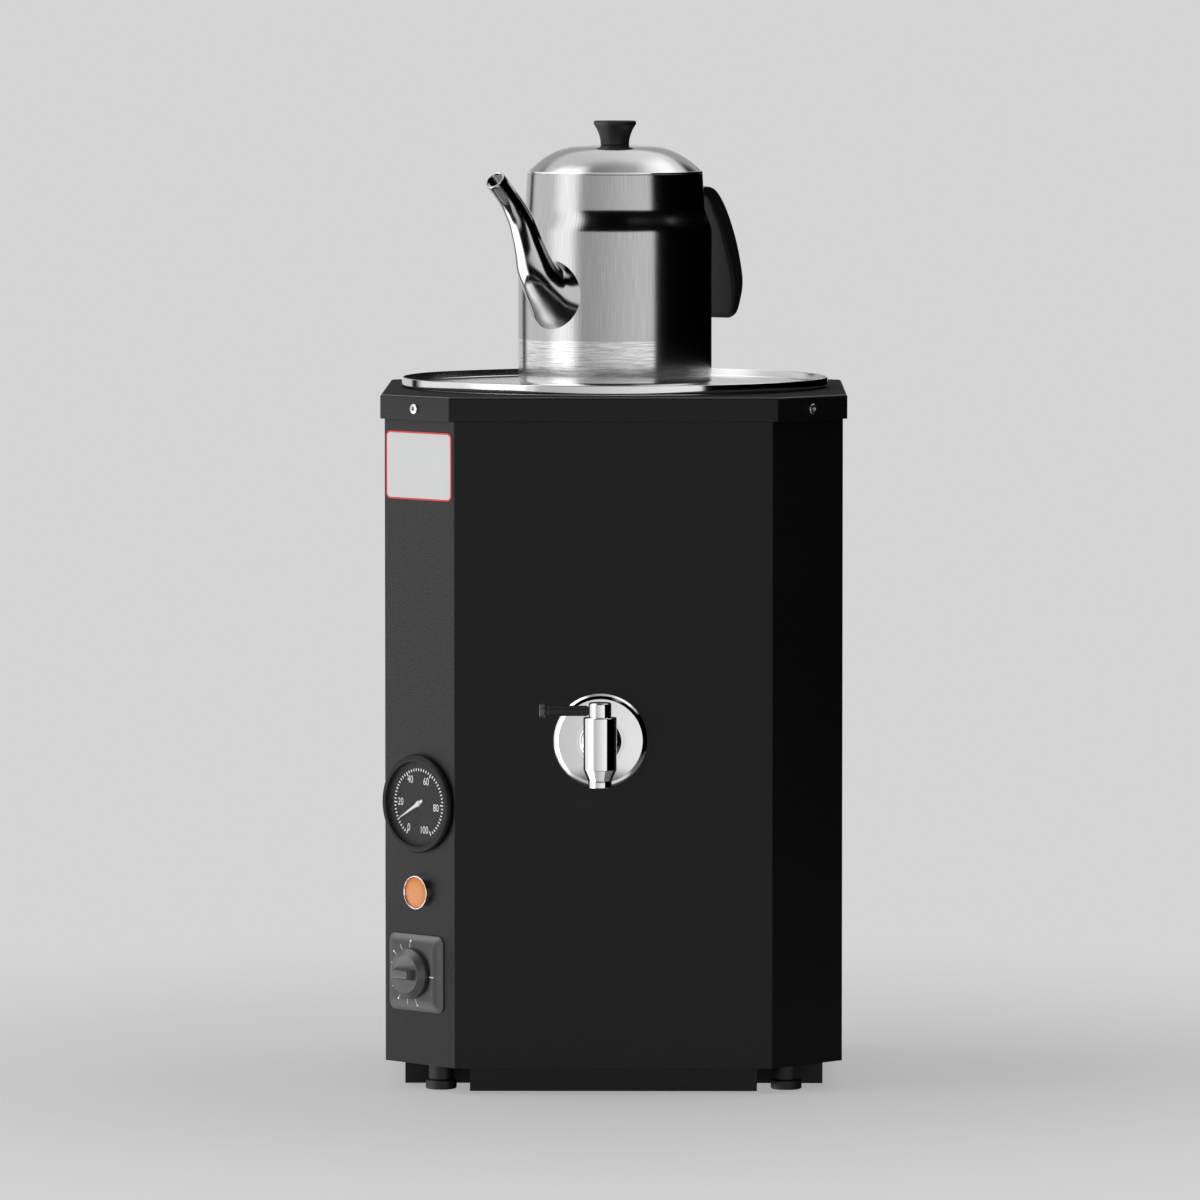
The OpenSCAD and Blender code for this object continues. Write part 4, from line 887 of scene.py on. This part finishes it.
def pot_side(inset):
    """Side of the pot: a rounded base, a straight wall, an S-shaped shoulder and a tapered neck."""
    h = np.concatenate([
        np.linspace(SHOULDER_LOW, SHOULDER_HIGH, 28),
        np.linspace(SHOULDER_HIGH + 2, POT_H - POT_WALL / 2, 6),
    ])
    shoulder = ease((h - SHOULDER_LOW) / (SHOULDER_HIGH - SHOULDER_LOW))
    neck = np.minimum(NECK_DROP, NECK_DROP * (POT_H - h) / (POT_H - SHOULDER_HIGH))
    r = POT_R + (MOUTH_R + NECK_DROP - POT_R) * shoulder + (neck - NECK_DROP)
    return outline(
        arc(POT_R - POT_EDGE, POT_EDGE, POT_EDGE - inset, -90, 0, 12),
        np.stack([r - inset, h], 1),
    )


def pot():
    """Spun pot: its side turned about the axis, outside and inside, with a rounded lip."""
    lip = edge(MOUTH_R, POT_H, POT_WALL / 2, 0, 180)
    shell = spun(224, [[1, 0]], pot_side(0), lip, pot_side(POT_WALL)[::-1], [[1, POT_WALL]])
    piece("pot_shell", "teapot", "steel", on_axis(POT_Z), shell, finish="pot", stands_for=["teapot_body"])


def spout_rings(path, sides=80):
    """Round sections along the spout: bent round the pot's wall at the root, square to the path beyond it."""
    share = ease(1 - path[:, :1] / SPOUT_ROOT)
    way = unit(np.gradient(path[:, :2], axis=0))
    way = unit(way * (1 - share) + np.array([1, 0]) * share)
    off, wide = (path[:, 2:] * q for q in circle(sides))
    bend = np.sqrt(POT_R**2 - wide**2) - POT_R
    out = POT_R + path[:, :1] - way[:, 1:] * off + share * bend
    return np.stack([out, wide, path[:, 1:2] + way[:, :1] * off], 2)


def spout():
    """Hollow spout: its outside from the pot to a rounded mouth, and its bore back again."""
    path = spline(SPOUT, 8)
    tip = unit(path[-1:, :2] - path[-2:-1, :2])[0]
    ahead = np.array([[*tip, 0], [0, 0, 1]])
    lip = path[-1] + np.array([[0.35, -0.15], [0.5, -0.5]]) @ ahead
    bore = path - np.array([0, 0, SPOUT_WALL])
    back = bore[-1] + np.array([[0.35, 0.15]]) @ ahead
    rings = [spout_rings(np.vstack([path, lip])), spout_rings(np.vstack([bore, back]))[::-1]]
    made = piece("spout_skin", "teapot", "polished", on_axis(POT_Z, SPOUT_TURN),
                 skin(np.concatenate(rings), loop=True), stands_for=["teapot_spout"], sharp=60)
    # The pot's wall doesn't mirror it
    made.visible_glossy = False


def handle():
    """Tongue-shaped handle: flat-sided sections square to its path, narrowed over a quarter circle."""
    path = spline(HANDLE, 8)
    steps = np.linalg.norm(np.diff(path[:, :2], axis=0), axis=1)
    left = np.clip(steps.sum() - np.concatenate([[0], np.cumsum(steps)]), 0, HANDLE_ROUND)
    half = HANDLE_W / 2 - HANDLE_ROUND + np.sqrt(HANDLE_ROUND**2 - (HANDLE_ROUND - left) ** 2)
    rings = sweep(path[:, :2], path[:, 2], half, HANDLE_SQUARENESS) + np.array([POT_R, 0, 0])
    piece("handle_grip", "teapot", "black_plastic", on_axis(POT_Z, HANDLE_TURN), skin(rings),
          finish="dark_plastic", stands_for=["teapot_handle"], sharp=50)


def dome():
    """Teapot lid: a dome that falls ever steeper from a flat crown to a thin rim, with a skirt below."""
    t = np.linspace(0, 1, 40)
    rise = DOME_H - CROWN_H - DOME_RIM_H
    fall = DOME_RIM_H + rise * (1 - t**DOME_FALL)
    rim = DOME_RIM_R - 2 * DOME_RIM_ROUND
    inside = DOME_SKIRT_R - DOME_T
    shell = spun(
        224,
        [[1, DOME_H], [CROWN_R, DOME_H]],
        np.stack([DOME_FLAT_R + (rim - DOME_FLAT_R) * t, fall], 1),
        edge(DOME_RIM_R, DOME_RIM_H, DOME_RIM_ROUND, 80, 0, 5),
        [[DOME_RIM_R, 0.2], [DOME_RIM_R - 0.2, 0], [DOME_SKIRT_R, 0], [DOME_SKIRT_R, -DOME_SKIRT]],
        [[inside, -DOME_SKIRT]],
        np.stack([DOME_FLAT_R + (inside - DOME_FLAT_R) * t, fall - DOME_T], 1)[::-1],
        [[CROWN_R, DOME_H - DOME_T], [1, DOME_H - DOME_T]],
    )
    place = on_axis(POT_Z + POT_H)
    piece("lid_dome", "pot_lid", "steel", place, shell, finish="dome", stands_for=["teapot_lid"])


def lid_knob():
    """Flared knob: its radius grows with the square of the height, up to a rounded top."""
    t = np.linspace(0, 1, 16)
    r = KNOB_FOOT_R + (KNOB_TOP_R - KNOB_FOOT_R) * t**2
    shell = spun(
        128,
        [[1, 0], [KNOB_FOOT_R - BREAK, 0]],
        np.stack([r, BREAK + t * (KNOB_H - 2 * KNOB_ROUND - BREAK)], 1),
        edge(KNOB_TOP_R, KNOB_H, KNOB_ROUND, -10, 90, 10),
        [[6, KNOB_H - 0.1], [1, KNOB_H - 0.2]],
    )
    piece("knob_turned", "pot_lid", "black_plastic", on_axis(KNOB_Z), shell, stands_for=["lid_knob"])


pot()
spout()
handle()
dome()
lid_knob()


# Tap

FLANGE_R = 31.75
FLANGE_H = 6.5
FLANGE_FACE = 6.1
FLANGE_BORE = 8
COLLAR_R = 14.5
COLLAR_L = 6.5
TAP_NECK_R = 9
BARREL_R = 11.2
BARREL_ROUND = 0.8
BARREL_UP = 19.7
BARREL_DOWN = 15.4
NOZZLE_R = 7.9
NOZZLE_L = 12.1
NOZZLE_ROUND = 0.5
TAP_BORE = 5
TAP_BORE_TOP = -8
CAP_R = 7.65
CAP_H = 9.9
CAP_ROUND = 1.5
CAP_GAP = 0.1
LEVER_UP = 4.3
LEVER_R = 3.5
LEVER_ROUND = 0.6
LEVER_NECK_R = 2.6
LEVER_ROD = 35
LEVER_L = 40.5
LEVER_END_R = 4.65
LEVER_END_L = 4
LEVER_END_ROUND = 1
# Corners of the flange's face: middle, height, radius, slopes before and after it in degrees, and steps
FLANGE_CORNERS = (
    (FLANGE_R - 0.3, 2.0, 0.3, 0, 46, 3),
    (FLANGE_R - 1.7, 3.15, 0.4, 46, 62, 3),
    (FLANGE_R - 3.7, 4.1, 0.5, 62, 82, 4),
    (COLLAR_R + 2, 5.7, 0.4, 82, 90, 2),
)


def tap_flange():
    """Turned wall flange: an upright edge, a chamfer, a bevel and a shallow cone."""
    corners = [arc(*corner) for corner in FLANGE_CORNERS]
    shell = spun(160, [[FLANGE_BORE, 0], [FLANGE_R, 0]], *corners, [[FLANGE_BORE, FLANGE_FACE]], loop=True)
    piece("flange_turned", "urn", "tap_chrome", on_front(TAP_X, TAP_Z), shell, stands_for=["tap_flange"])


def tap_casting():
    """Collar and neck turned about the outlet's axis, barrel and nozzle about an upright one."""
    reach = CASING_LOW[1] - BARREL[1]
    collar = spun(
        96,
        [[1, FLANGE_H - 1], [COLLAR_R, FLANGE_H - 1]],
        arc(TAP_NECK_R, FLANGE_H, (COLLAR_R - TAP_NECK_R, COLLAR_L), 0, 90, 15),
        [[TAP_NECK_R, reach], [1, reach]],
    )
    mouth = -BARREL_DOWN - NOZZLE_L
    shoulder = [
        [NOZZLE_R, mouth + 4.6], [NOZZLE_R + 0.2, mouth + 5.4],
        [BARREL_R - 0.35, -BARREL_DOWN - 0.7], [BARREL_R - 0.06, -BARREL_DOWN + 0.2],
    ]
    barrel = spun(
        112,
        [[1, TAP_BORE_TOP], [TAP_BORE, TAP_BORE_TOP]],
        [[TAP_BORE, mouth + NOZZLE_ROUND], [TAP_BORE + NOZZLE_ROUND, mouth]],
        arc(NOZZLE_R - NOZZLE_ROUND, mouth + NOZZLE_ROUND, NOZZLE_ROUND, -90, 0, 4),
        spline(shoulder, 5),
        edge(BARREL_R, BARREL_UP, BARREL_ROUND, steps=6),
        [[1, BARREL_UP]],
    )
    shells = [placed(collar, on_front(TAP_X, TAP_Z)), placed(barrel, (BARREL, UPRIGHT))]
    piece("tap_casting", "urn", "tap_chrome", PART, *shells, stands_for=["tap_body"])


def tap_cap():
    """Turned cap of the plug: a broken lower edge and a round top edge."""
    foot, top = BARREL_UP + CAP_GAP, BARREL_UP + CAP_H
    shell = spun(
        80,
        [[1, foot], [CAP_R - BREAK, foot], [CAP_R, foot + BREAK]],
        edge(CAP_R, top, CAP_ROUND),
        [[1, top]],
    )
    piece("plug_cap", "tap_handle", "tap_chrome", (BARREL, UPRIGHT), shell, stands_for=["tap_spindle"])


def tap_lever():
    """Lever rod and its end cap, turned about a level axis."""
    place = BARREL + np.array([0, 0, BARREL_UP + LEVER_UP]), LEVER
    root, neck, foot = CAP_R - LEVER_ROUND, LEVER_R - LEVER_ROUND, LEVER_L - LEVER_END_L
    rod = spun(
        64,
        [[1, root], [neck, root], [neck, CAP_R + 0.3], [LEVER_R, CAP_R + 1.4]],
        edge(LEVER_R, LEVER_ROD, LEVER_ROUND, steps=6),
        [[LEVER_NECK_R, LEVER_ROD], [LEVER_NECK_R, foot + 0.1], [1, foot + 0.1]],
    )
    end = spun(
        64,
        [[1, foot], [LEVER_END_R - LEVER_ROUND, foot], [LEVER_END_R, foot + LEVER_ROUND]],
        edge(LEVER_END_R, LEVER_L, LEVER_END_ROUND),
        [[1, LEVER_L]],
    )
    for name, shell, finish, node in (
        ("lever_rod", rod, "black_plastic", "tap_lever"),
        ("lever_end", end, "grey_plastic", "lever_cap"),
    ):
        made = piece(name, "tap_handle", "black_plastic", place, shell, finish=finish, stands_for=[node])
        # The flange doesn't mirror it
        made.visible_glossy = False


tap_flange()
tap_casting()
tap_cap()
tap_lever()


# Thermometer

BEZEL_R = 33.2
BEZEL_H = 4.6
BEZEL_ROUND = 0.7
BEZEL_LIP_R = 28.7
BEZEL_SEAT_R = 29.6
BEZEL_SEAT = 0.9
BEZEL_GAP = 0.1
DIAL_FACE = 0.8
DIAL_PRINT = DIAL_FACE + 0.08
GLASS_R = BEZEL_LIP_R + 0.6
GLASS_Z = 3.0
GLASS_T = 0.5
GLASS_CROWN = 0.4
NEEDLE_REST = 210
NEEDLE_Z = 1.5
NEEDLE_T = 0.6
AXLE_R = 0.8
AXLE_L = 25
HUB_R = 1.7
HUB_ROUND = 0.4
HUB_LOW = 1.1
HUB_TOP = 2.5
# Stations of the needle: distance from its axle and half its width
NEEDLE = [
    [-5.2, 0.4], [-4.9, 0.9], [-4.2, 1.15], [-2.2, 1.15], [-1.6, 1.7],
    [0, 2.0], [1.6, 1.7], [2.4, 1.3], [20.8, 0.25], [21.2, 0.1],
]
# Scale of the dial: angles in degrees, and distances from the axle
TICK_COUNT = 51
TICK_START = 240
TICK_STEP = 6.0
TICK_LONG_R = 20.9
TICK_SHORT_R = 22.2
TICK_END_R = 24.0
TICK_W = 0.85
# Figures of the dial: number, angle and distance
FIGURES = ((0, 239, 19), (20, 178, 17.8), (40, 117, 18.3), (60, 65, 17.2), (80, -6, 17), (100, -72, 18.3))
FIGURE_H = 5.0
FIGURE_NARROW = 0.78


def bezel():
    """Round bezel ring: a half-round outside and a straight bore."""
    half = BEZEL_H / 2
    shell = spun(
        160,
        [[BEZEL_SEAT_R, BEZEL_GAP], [BEZEL_R - BEZEL_ROUND, BEZEL_GAP]],
        arc(BEZEL_R - half, half, half, -40, 90, 16),
        arc(BEZEL_LIP_R + BEZEL_ROUND, BEZEL_H - BEZEL_ROUND, BEZEL_ROUND, 90, 180, 6),
        [[BEZEL_LIP_R, BEZEL_SEAT], [BEZEL_SEAT_R, BEZEL_SEAT]],
        loop=True,
    )
    piece("bezel_ring", "urn", "black_plastic", DIAL_PLACE, shell, finish="bezel",
          stands_for=["thermometer_bezel"])


def dial_height(u, v):
    """Height of the print on the flat dial."""
    return np.full(u.shape, DIAL_PRINT)


def dial_print():
    """Scale of the dial: short bars on a circle, longer at every tenth, and the figures."""
    count = np.arange(TICK_COUNT)
    angles = TICK_START - TICK_STEP * count
    start = np.where(count % 10 == 0, TICK_LONG_R, TICK_SHORT_R)
    shells = [strips(polar(start, angles), polar(TICK_END_R, angles), TICK_W, dial_height, 1)]
    for value, angle, radius in FIGURES:
        mark = figures(str(value), FIGURE_H, FIGURE_NARROW)
        shells.append(moved(mark, *polar(radius, [angle])[0], DIAL_PRINT))
    piece("dial_scale", "urn", "needle", DIAL_PLACE, *shells)


def dial_glass():
    """Thin window: a shallow cap that falls with the square of the distance from its middle."""
    r = np.linspace(GLASS_R, 1, 10)
    cap = np.stack([r, GLASS_Z + GLASS_T + GLASS_CROWN * (1 - (r / GLASS_R) ** 2)], 1)
    shell = spun(128, [[1, GLASS_Z], [GLASS_R, GLASS_Z]], cap)
    piece("dial_glass", "urn", "clear", DIAL_PLACE, shell, stands_for=["thermometer_glass"])


def needle():
    """Flat sections along the needle, wide at the hub and drawn out to the tip, on a turned axle."""
    origin, axes = DIAL_PLACE
    along, half = np.array(NEEDLE).T
    across, up = np.array([[1, 0], [0.7, 1], [-0.7, 1], [-1, 0]]).T
    blade = np.broadcast_arrays(along[:, None], half[:, None] * across, NEEDLE_Z + NEEDLE_T * up)
    axle = spun(24, [[0.2, -AXLE_L], [AXLE_R, -AXLE_L], [AXLE_R, NEEDLE_Z], [0.2, NEEDLE_Z]])
    rim = edge(HUB_R, HUB_TOP, HUB_ROUND, steps=4)
    hub = spun(40, [[0.2, HUB_LOW], [HUB_R, HUB_LOW]], rim, [[0.2, HUB_TOP]])
    place = origin, turned(axes, NEEDLE_REST)
    piece("needle_blade", "needle", "needle", place, skin(np.stack(blade, 2)), axle, hub,
          stands_for=["thermometer_needle"])


bezel()
dial_print()
dial_glass()
needle()


# Pilot lamp

LAMP_R = 11.35
LAMP_RING_H = 4.7
LAMP_EDGE = 0.45
LAMP_BORE = LAMP_R - 1
LAMP_SEAT_R = 6.2
LAMP_SEAT = 0.8
LENS_R = 10.2
LENS_LOW = 0.9
LENS_DOME = 1.4


def lamp():
    """Turned ring, and a lens whose face is the top of an ellipsoid."""
    ring = spun(
        112,
        [[LAMP_SEAT_R, 0], [LAMP_R, 0]],
        edge(LAMP_R, LAMP_RING_H, LAMP_EDGE, 0, 110, 6),
        [[LAMP_R - 2 * LAMP_EDGE, LAMP_RING_H - 0.4], [LAMP_BORE, LAMP_RING_H - 0.6]],
        [[LAMP_BORE, LAMP_SEAT], [LAMP_SEAT_R, LAMP_SEAT]],
        loop=True,
    )
    face = arc(0, LAMP_RING_H - LENS_DOME, (LENS_R, LENS_DOME), 0, 87, 13)
    lens = spun(112, [[1, LENS_LOW], [LENS_R, LENS_LOW]], face)
    piece("lamp_ring", "urn", "tap_chrome", LAMP_PLACE, ring, stands_for=["lamp_bezel"])
    piece("lamp_face", "urn", "amber", LAMP_PLACE, lens, stands_for=["lamp_lens"])


lamp()


# Thermostat

PLATE_W = 52
PLATE_T = 5.5
PLATE_EDGE = 0.9
PLATE_ROLL = 9
PLATE_ROUND = 5
CONTROL_R = 16.9
CONTROL_FACE_R = 12.6
CONTROL_GAP = 0.5
CONTROL_SKIRT = 3.2
CONTROL_FACE = 6.2
CONTROL_BREAK = 0.4
GRIP_L = 18.6
GRIP_W = 7.6
GRIP_TAPER = 1.8
GRIP_H = 5
# Scale of the plate: angles in degrees, distances of both ends from the middle, and widths
TICKS = (95, 120, 141, 163, 185, 208, 234, 258, 283)
BAR_START, BAR_END, BAR_W = 17.6, 21.8, 0.42
DOTS = (95, 141, 234, 283)
DOT_OUT, DOT_R = 22.0, 0.75
MARK = (356,)
MARK_START, MARK_END, MARK_W = 17.4, 21.0, 0.9
PLATE_PRINT = 0.12


def plate_crown(inside):
    """Height of the plate's face at a distance inside its edge: it rises ever less steeply to a flat."""
    t = np.clip(inside / PLATE_ROLL, 0, 1)
    return PLATE_EDGE + (PLATE_T - PLATE_EDGE) * (1 - (1 - t) ** 2.2)


def plate_height(u, v):
    """Height of a print on the plate at a place on its face."""
    return plate_crown(PLATE_W / 2 - np.maximum(np.abs(u), np.abs(v))) + PLATE_PRINT


def thermostat_plate():
    """Moulded plate: rounded squares that shrink up its crowned face."""
    rings = [carry(rectangle(PLATE_W, PLATE_W, PLATE_ROUND), [[-0.2, 0], [0, 0.2]])]
    for inside in np.linspace(0, PLATE_ROLL, 19):
        side = PLATE_W - 2 * inside
        path = rectangle(side, side, PLATE_ROUND - 0.3 * inside)
        rings.append(carry(path, [[0, plate_crown(inside)]]))
    piece("control_plate", "urn", "grey_plastic", PLATE_PLACE, skin(np.concatenate(rings)), finish="plate",
          stands_for=["thermostat_plate"])


def thermostat_print():
    """Scale of the plate: bars on a circle, dots at some of their ends, and a thick mark at the right."""
    ticks, dots, mark = np.array(TICKS), np.array(DOTS), np.array(MARK)
    piece(
        "control_scale", "urn", "needle", PLATE_PLACE,
        strips(polar(BAR_START, ticks), polar(BAR_END, ticks), BAR_W, plate_height),
        discs(polar(DOT_OUT, dots), DOT_R, plate_height),
        strips(polar(MARK_START, mark), polar(MARK_END, mark), MARK_W, plate_height),
    )


def thermostat_knob():
    """Turned knob with a sloped side, and a bar grip whose rounded sections shrink upwards."""
    body = spun(
        128,
        [[1, 0], [CONTROL_R - CONTROL_BREAK, 0], [CONTROL_R, CONTROL_BREAK]],
        [[CONTROL_R, CONTROL_SKIRT - CONTROL_BREAK], [CONTROL_R - 0.3, CONTROL_SKIRT]],
        [[CONTROL_FACE_R + 0.7, CONTROL_FACE - 0.5]],
        arc(CONTROL_FACE_R, CONTROL_FACE - CONTROL_BREAK, 0.5, 45, 115, 6),
        [[CONTROL_FACE_R - 0.8, CONTROL_FACE - 0.3], [1, CONTROL_FACE - 0.3]],
    )
    top = CONTROL_FACE + GRIP_H
    low = rectangle(GRIP_L, GRIP_W, 1.4)
    high = rectangle(GRIP_L - 2 * GRIP_TAPER, GRIP_W - 1.2 * GRIP_TAPER, 1.2)
    grip = skin(np.concatenate([
        carry(low, [[0, CONTROL_FACE - 1], [0, CONTROL_FACE + 0.2]]),
        carry(high, [[0, top - 0.6], [-0.2, top - 0.15], [-0.7, top]]),
    ]))
    shells = [moved(shell, 0, 0, PLATE_T + CONTROL_GAP) for shell in (body, grip)]
    piece("control_knob", "thermostat_control", "grey_plastic", PLATE_PLACE, *shells,
          stands_for=["thermostat_knob"])


thermostat_plate()
thermostat_print()
thermostat_knob()


# Light, floor and camera: lengths are in metres here, and angles in radians

BACKDROP = 0.66
FLOOR_HALF = 2.0
FLOOR_SHEER = 0.55
FLOOR_FULL_R = 0.25
FLOOR_GONE_R = 0.9
CAMERA_BACK = 6.2261
CAMERA_UP = 0.7512
CAMERA_PITCH = 0.0685
CAMERA_YAW = 0.007
CAMERA_LENS = 271.7
CAMERA_SHIFT = -0.0124


def studio():
    """Soft box on the left, a lower grey panel in front, light overhead, dark on the right, pale behind.

    Each light is a band of bearings, counted from the front to the right, times a band of heights.
    """
    world = bpy.data.worlds.new("studio")
    world.use_nodes = True
    bpy.context.scene.world = world
    tree = world.node_tree
    base = Shade(tree)
    x, y, z = base.node("ShaderNodeTexCoord", out="Generated").xyz()
    bearing = x.math("ARCTAN2", x, 0 - y)
    up = z.math("ARCSINE", z)
    over = y.math("ARCTAN2", z, y)
    high = up.rise(0.52, 0.68)
    strip = bearing.between(-1.4, -0.85, 0.2)
    box = bearing.between(-2.3, -0.80, 0.1) * up.between(-0.9, 0.95, 0.15) * (0.95 + 0.80 * strip)
    ends = 2.2 * up.between(-0.9, -0.25, 0.12) + 1.6 * up.between(0.78, 1.2, 0.12)
    left = box + bearing.between(-2.1, -1.05, 0.2) * ends
    level = 0.55 + 0.42 * bearing.rise(-0.75, 0.75)
    panel = up.between(-0.35, 0.30, 0.06) + up.between(-1.15, -0.75, 0.1)
    front = bearing.between(-0.80, 0.85, 0.03) * level * panel
    above = 0.85 + 0.25 * x.rise(-0.3, 0.3) - 0.55 * over.rise(1.15, 1.55)
    right = 0.6 * x.rise(0.2, 0.45) * up.rise(0.72, 0.85)
    rear = 0.45 * (1 - high) * y.rise(0.6, 0.8) * (1 - x.rise(0.3, 0.45)) * up.rise(0.12, 0.2)
    sky = high * above * (1 - over.rise(1.72, 1.95)) + right + rear
    back = bearing.rise(2.98, 3.04) + (1 - bearing.rise(-2.55, -2.45))
    behind = back * up.between(-1.0, 0.17, 0.05)
    light = left + front + sky + behind * BACKDROP
    rays = base.node("ShaderNodeLightPath").socket.node.outputs
    camera_ray, glossy, through = (
        Shade(tree, rays[name]) for name in ("Is Camera Ray", "Is Glossy Ray", "Is Transmission Ray")
    )
    pale = base.math("MINIMUM", camera_ray + through + glossy * behind, 1)
    base.feed(tree.nodes["Background"].inputs["Color"], light * (1 - pale) + BACKDROP * pale)


def floor_paint(where, put):
    """Pale paint with a faint cloud."""
    put("Base Color", where.noise(3, 2).mix(grey(0.60), grey(0.64)))


def floor():
    """Pale floor round the urn that fades into the background."""
    e = FLOOR_HALF
    mesh = bpy.data.meshes.new("floor")
    mesh.from_pydata([(-e, -e, 0), (e, -e, 0), (e, e, 0), (-e, e, 0)], [], [(0, 1, 2, 3)])
    obj = new_object("floor", mesh)
    made = material("floor_paint", floor_paint, Roughness=0.7, Specular_IOR_Level=0.2)
    tree = made.node_tree
    base = Shade(tree)
    away = base.node("ShaderNodeTexCoord", out="Object").seen_from(AXIS).length()
    fade = FLOOR_SHEER + (1 - FLOOR_SHEER) * away.rise(FLOOR_FULL_R, FLOOR_GONE_R)
    paint = Shade(tree, tree.nodes["Principled BSDF"].outputs[0])
    gone = base.node("ShaderNodeBsdfTransparent")
    both = base.node("ShaderNodeMixShader", {0: fade, 1: paint, 2: gone})
    base.feed(tree.nodes["Material Output"].inputs[0], both)
    mesh.materials.append(made)


def camera():
    """Long lens from the front, a little above the urn."""
    data = bpy.data.cameras.new("camera")
    data.lens = CAMERA_LENS
    data.sensor_width = 36
    data.shift_x = CAMERA_SHIFT
    data.clip_end = 100
    obj = new_object("camera", data)
    obj.location = (
        CAMERA_BACK * math.sin(CAMERA_YAW),
        AXIS[1] / 1000 - CAMERA_BACK * math.cos(CAMERA_YAW),
        CAMERA_UP,
    )
    obj.rotation_euler = (math.pi / 2 - CAMERA_PITCH, 0, CAMERA_YAW)
    bpy.context.scene.camera = obj


studio()
floor()
camera()
bpy.context.scene.view_settings.view_transform = "Standard"
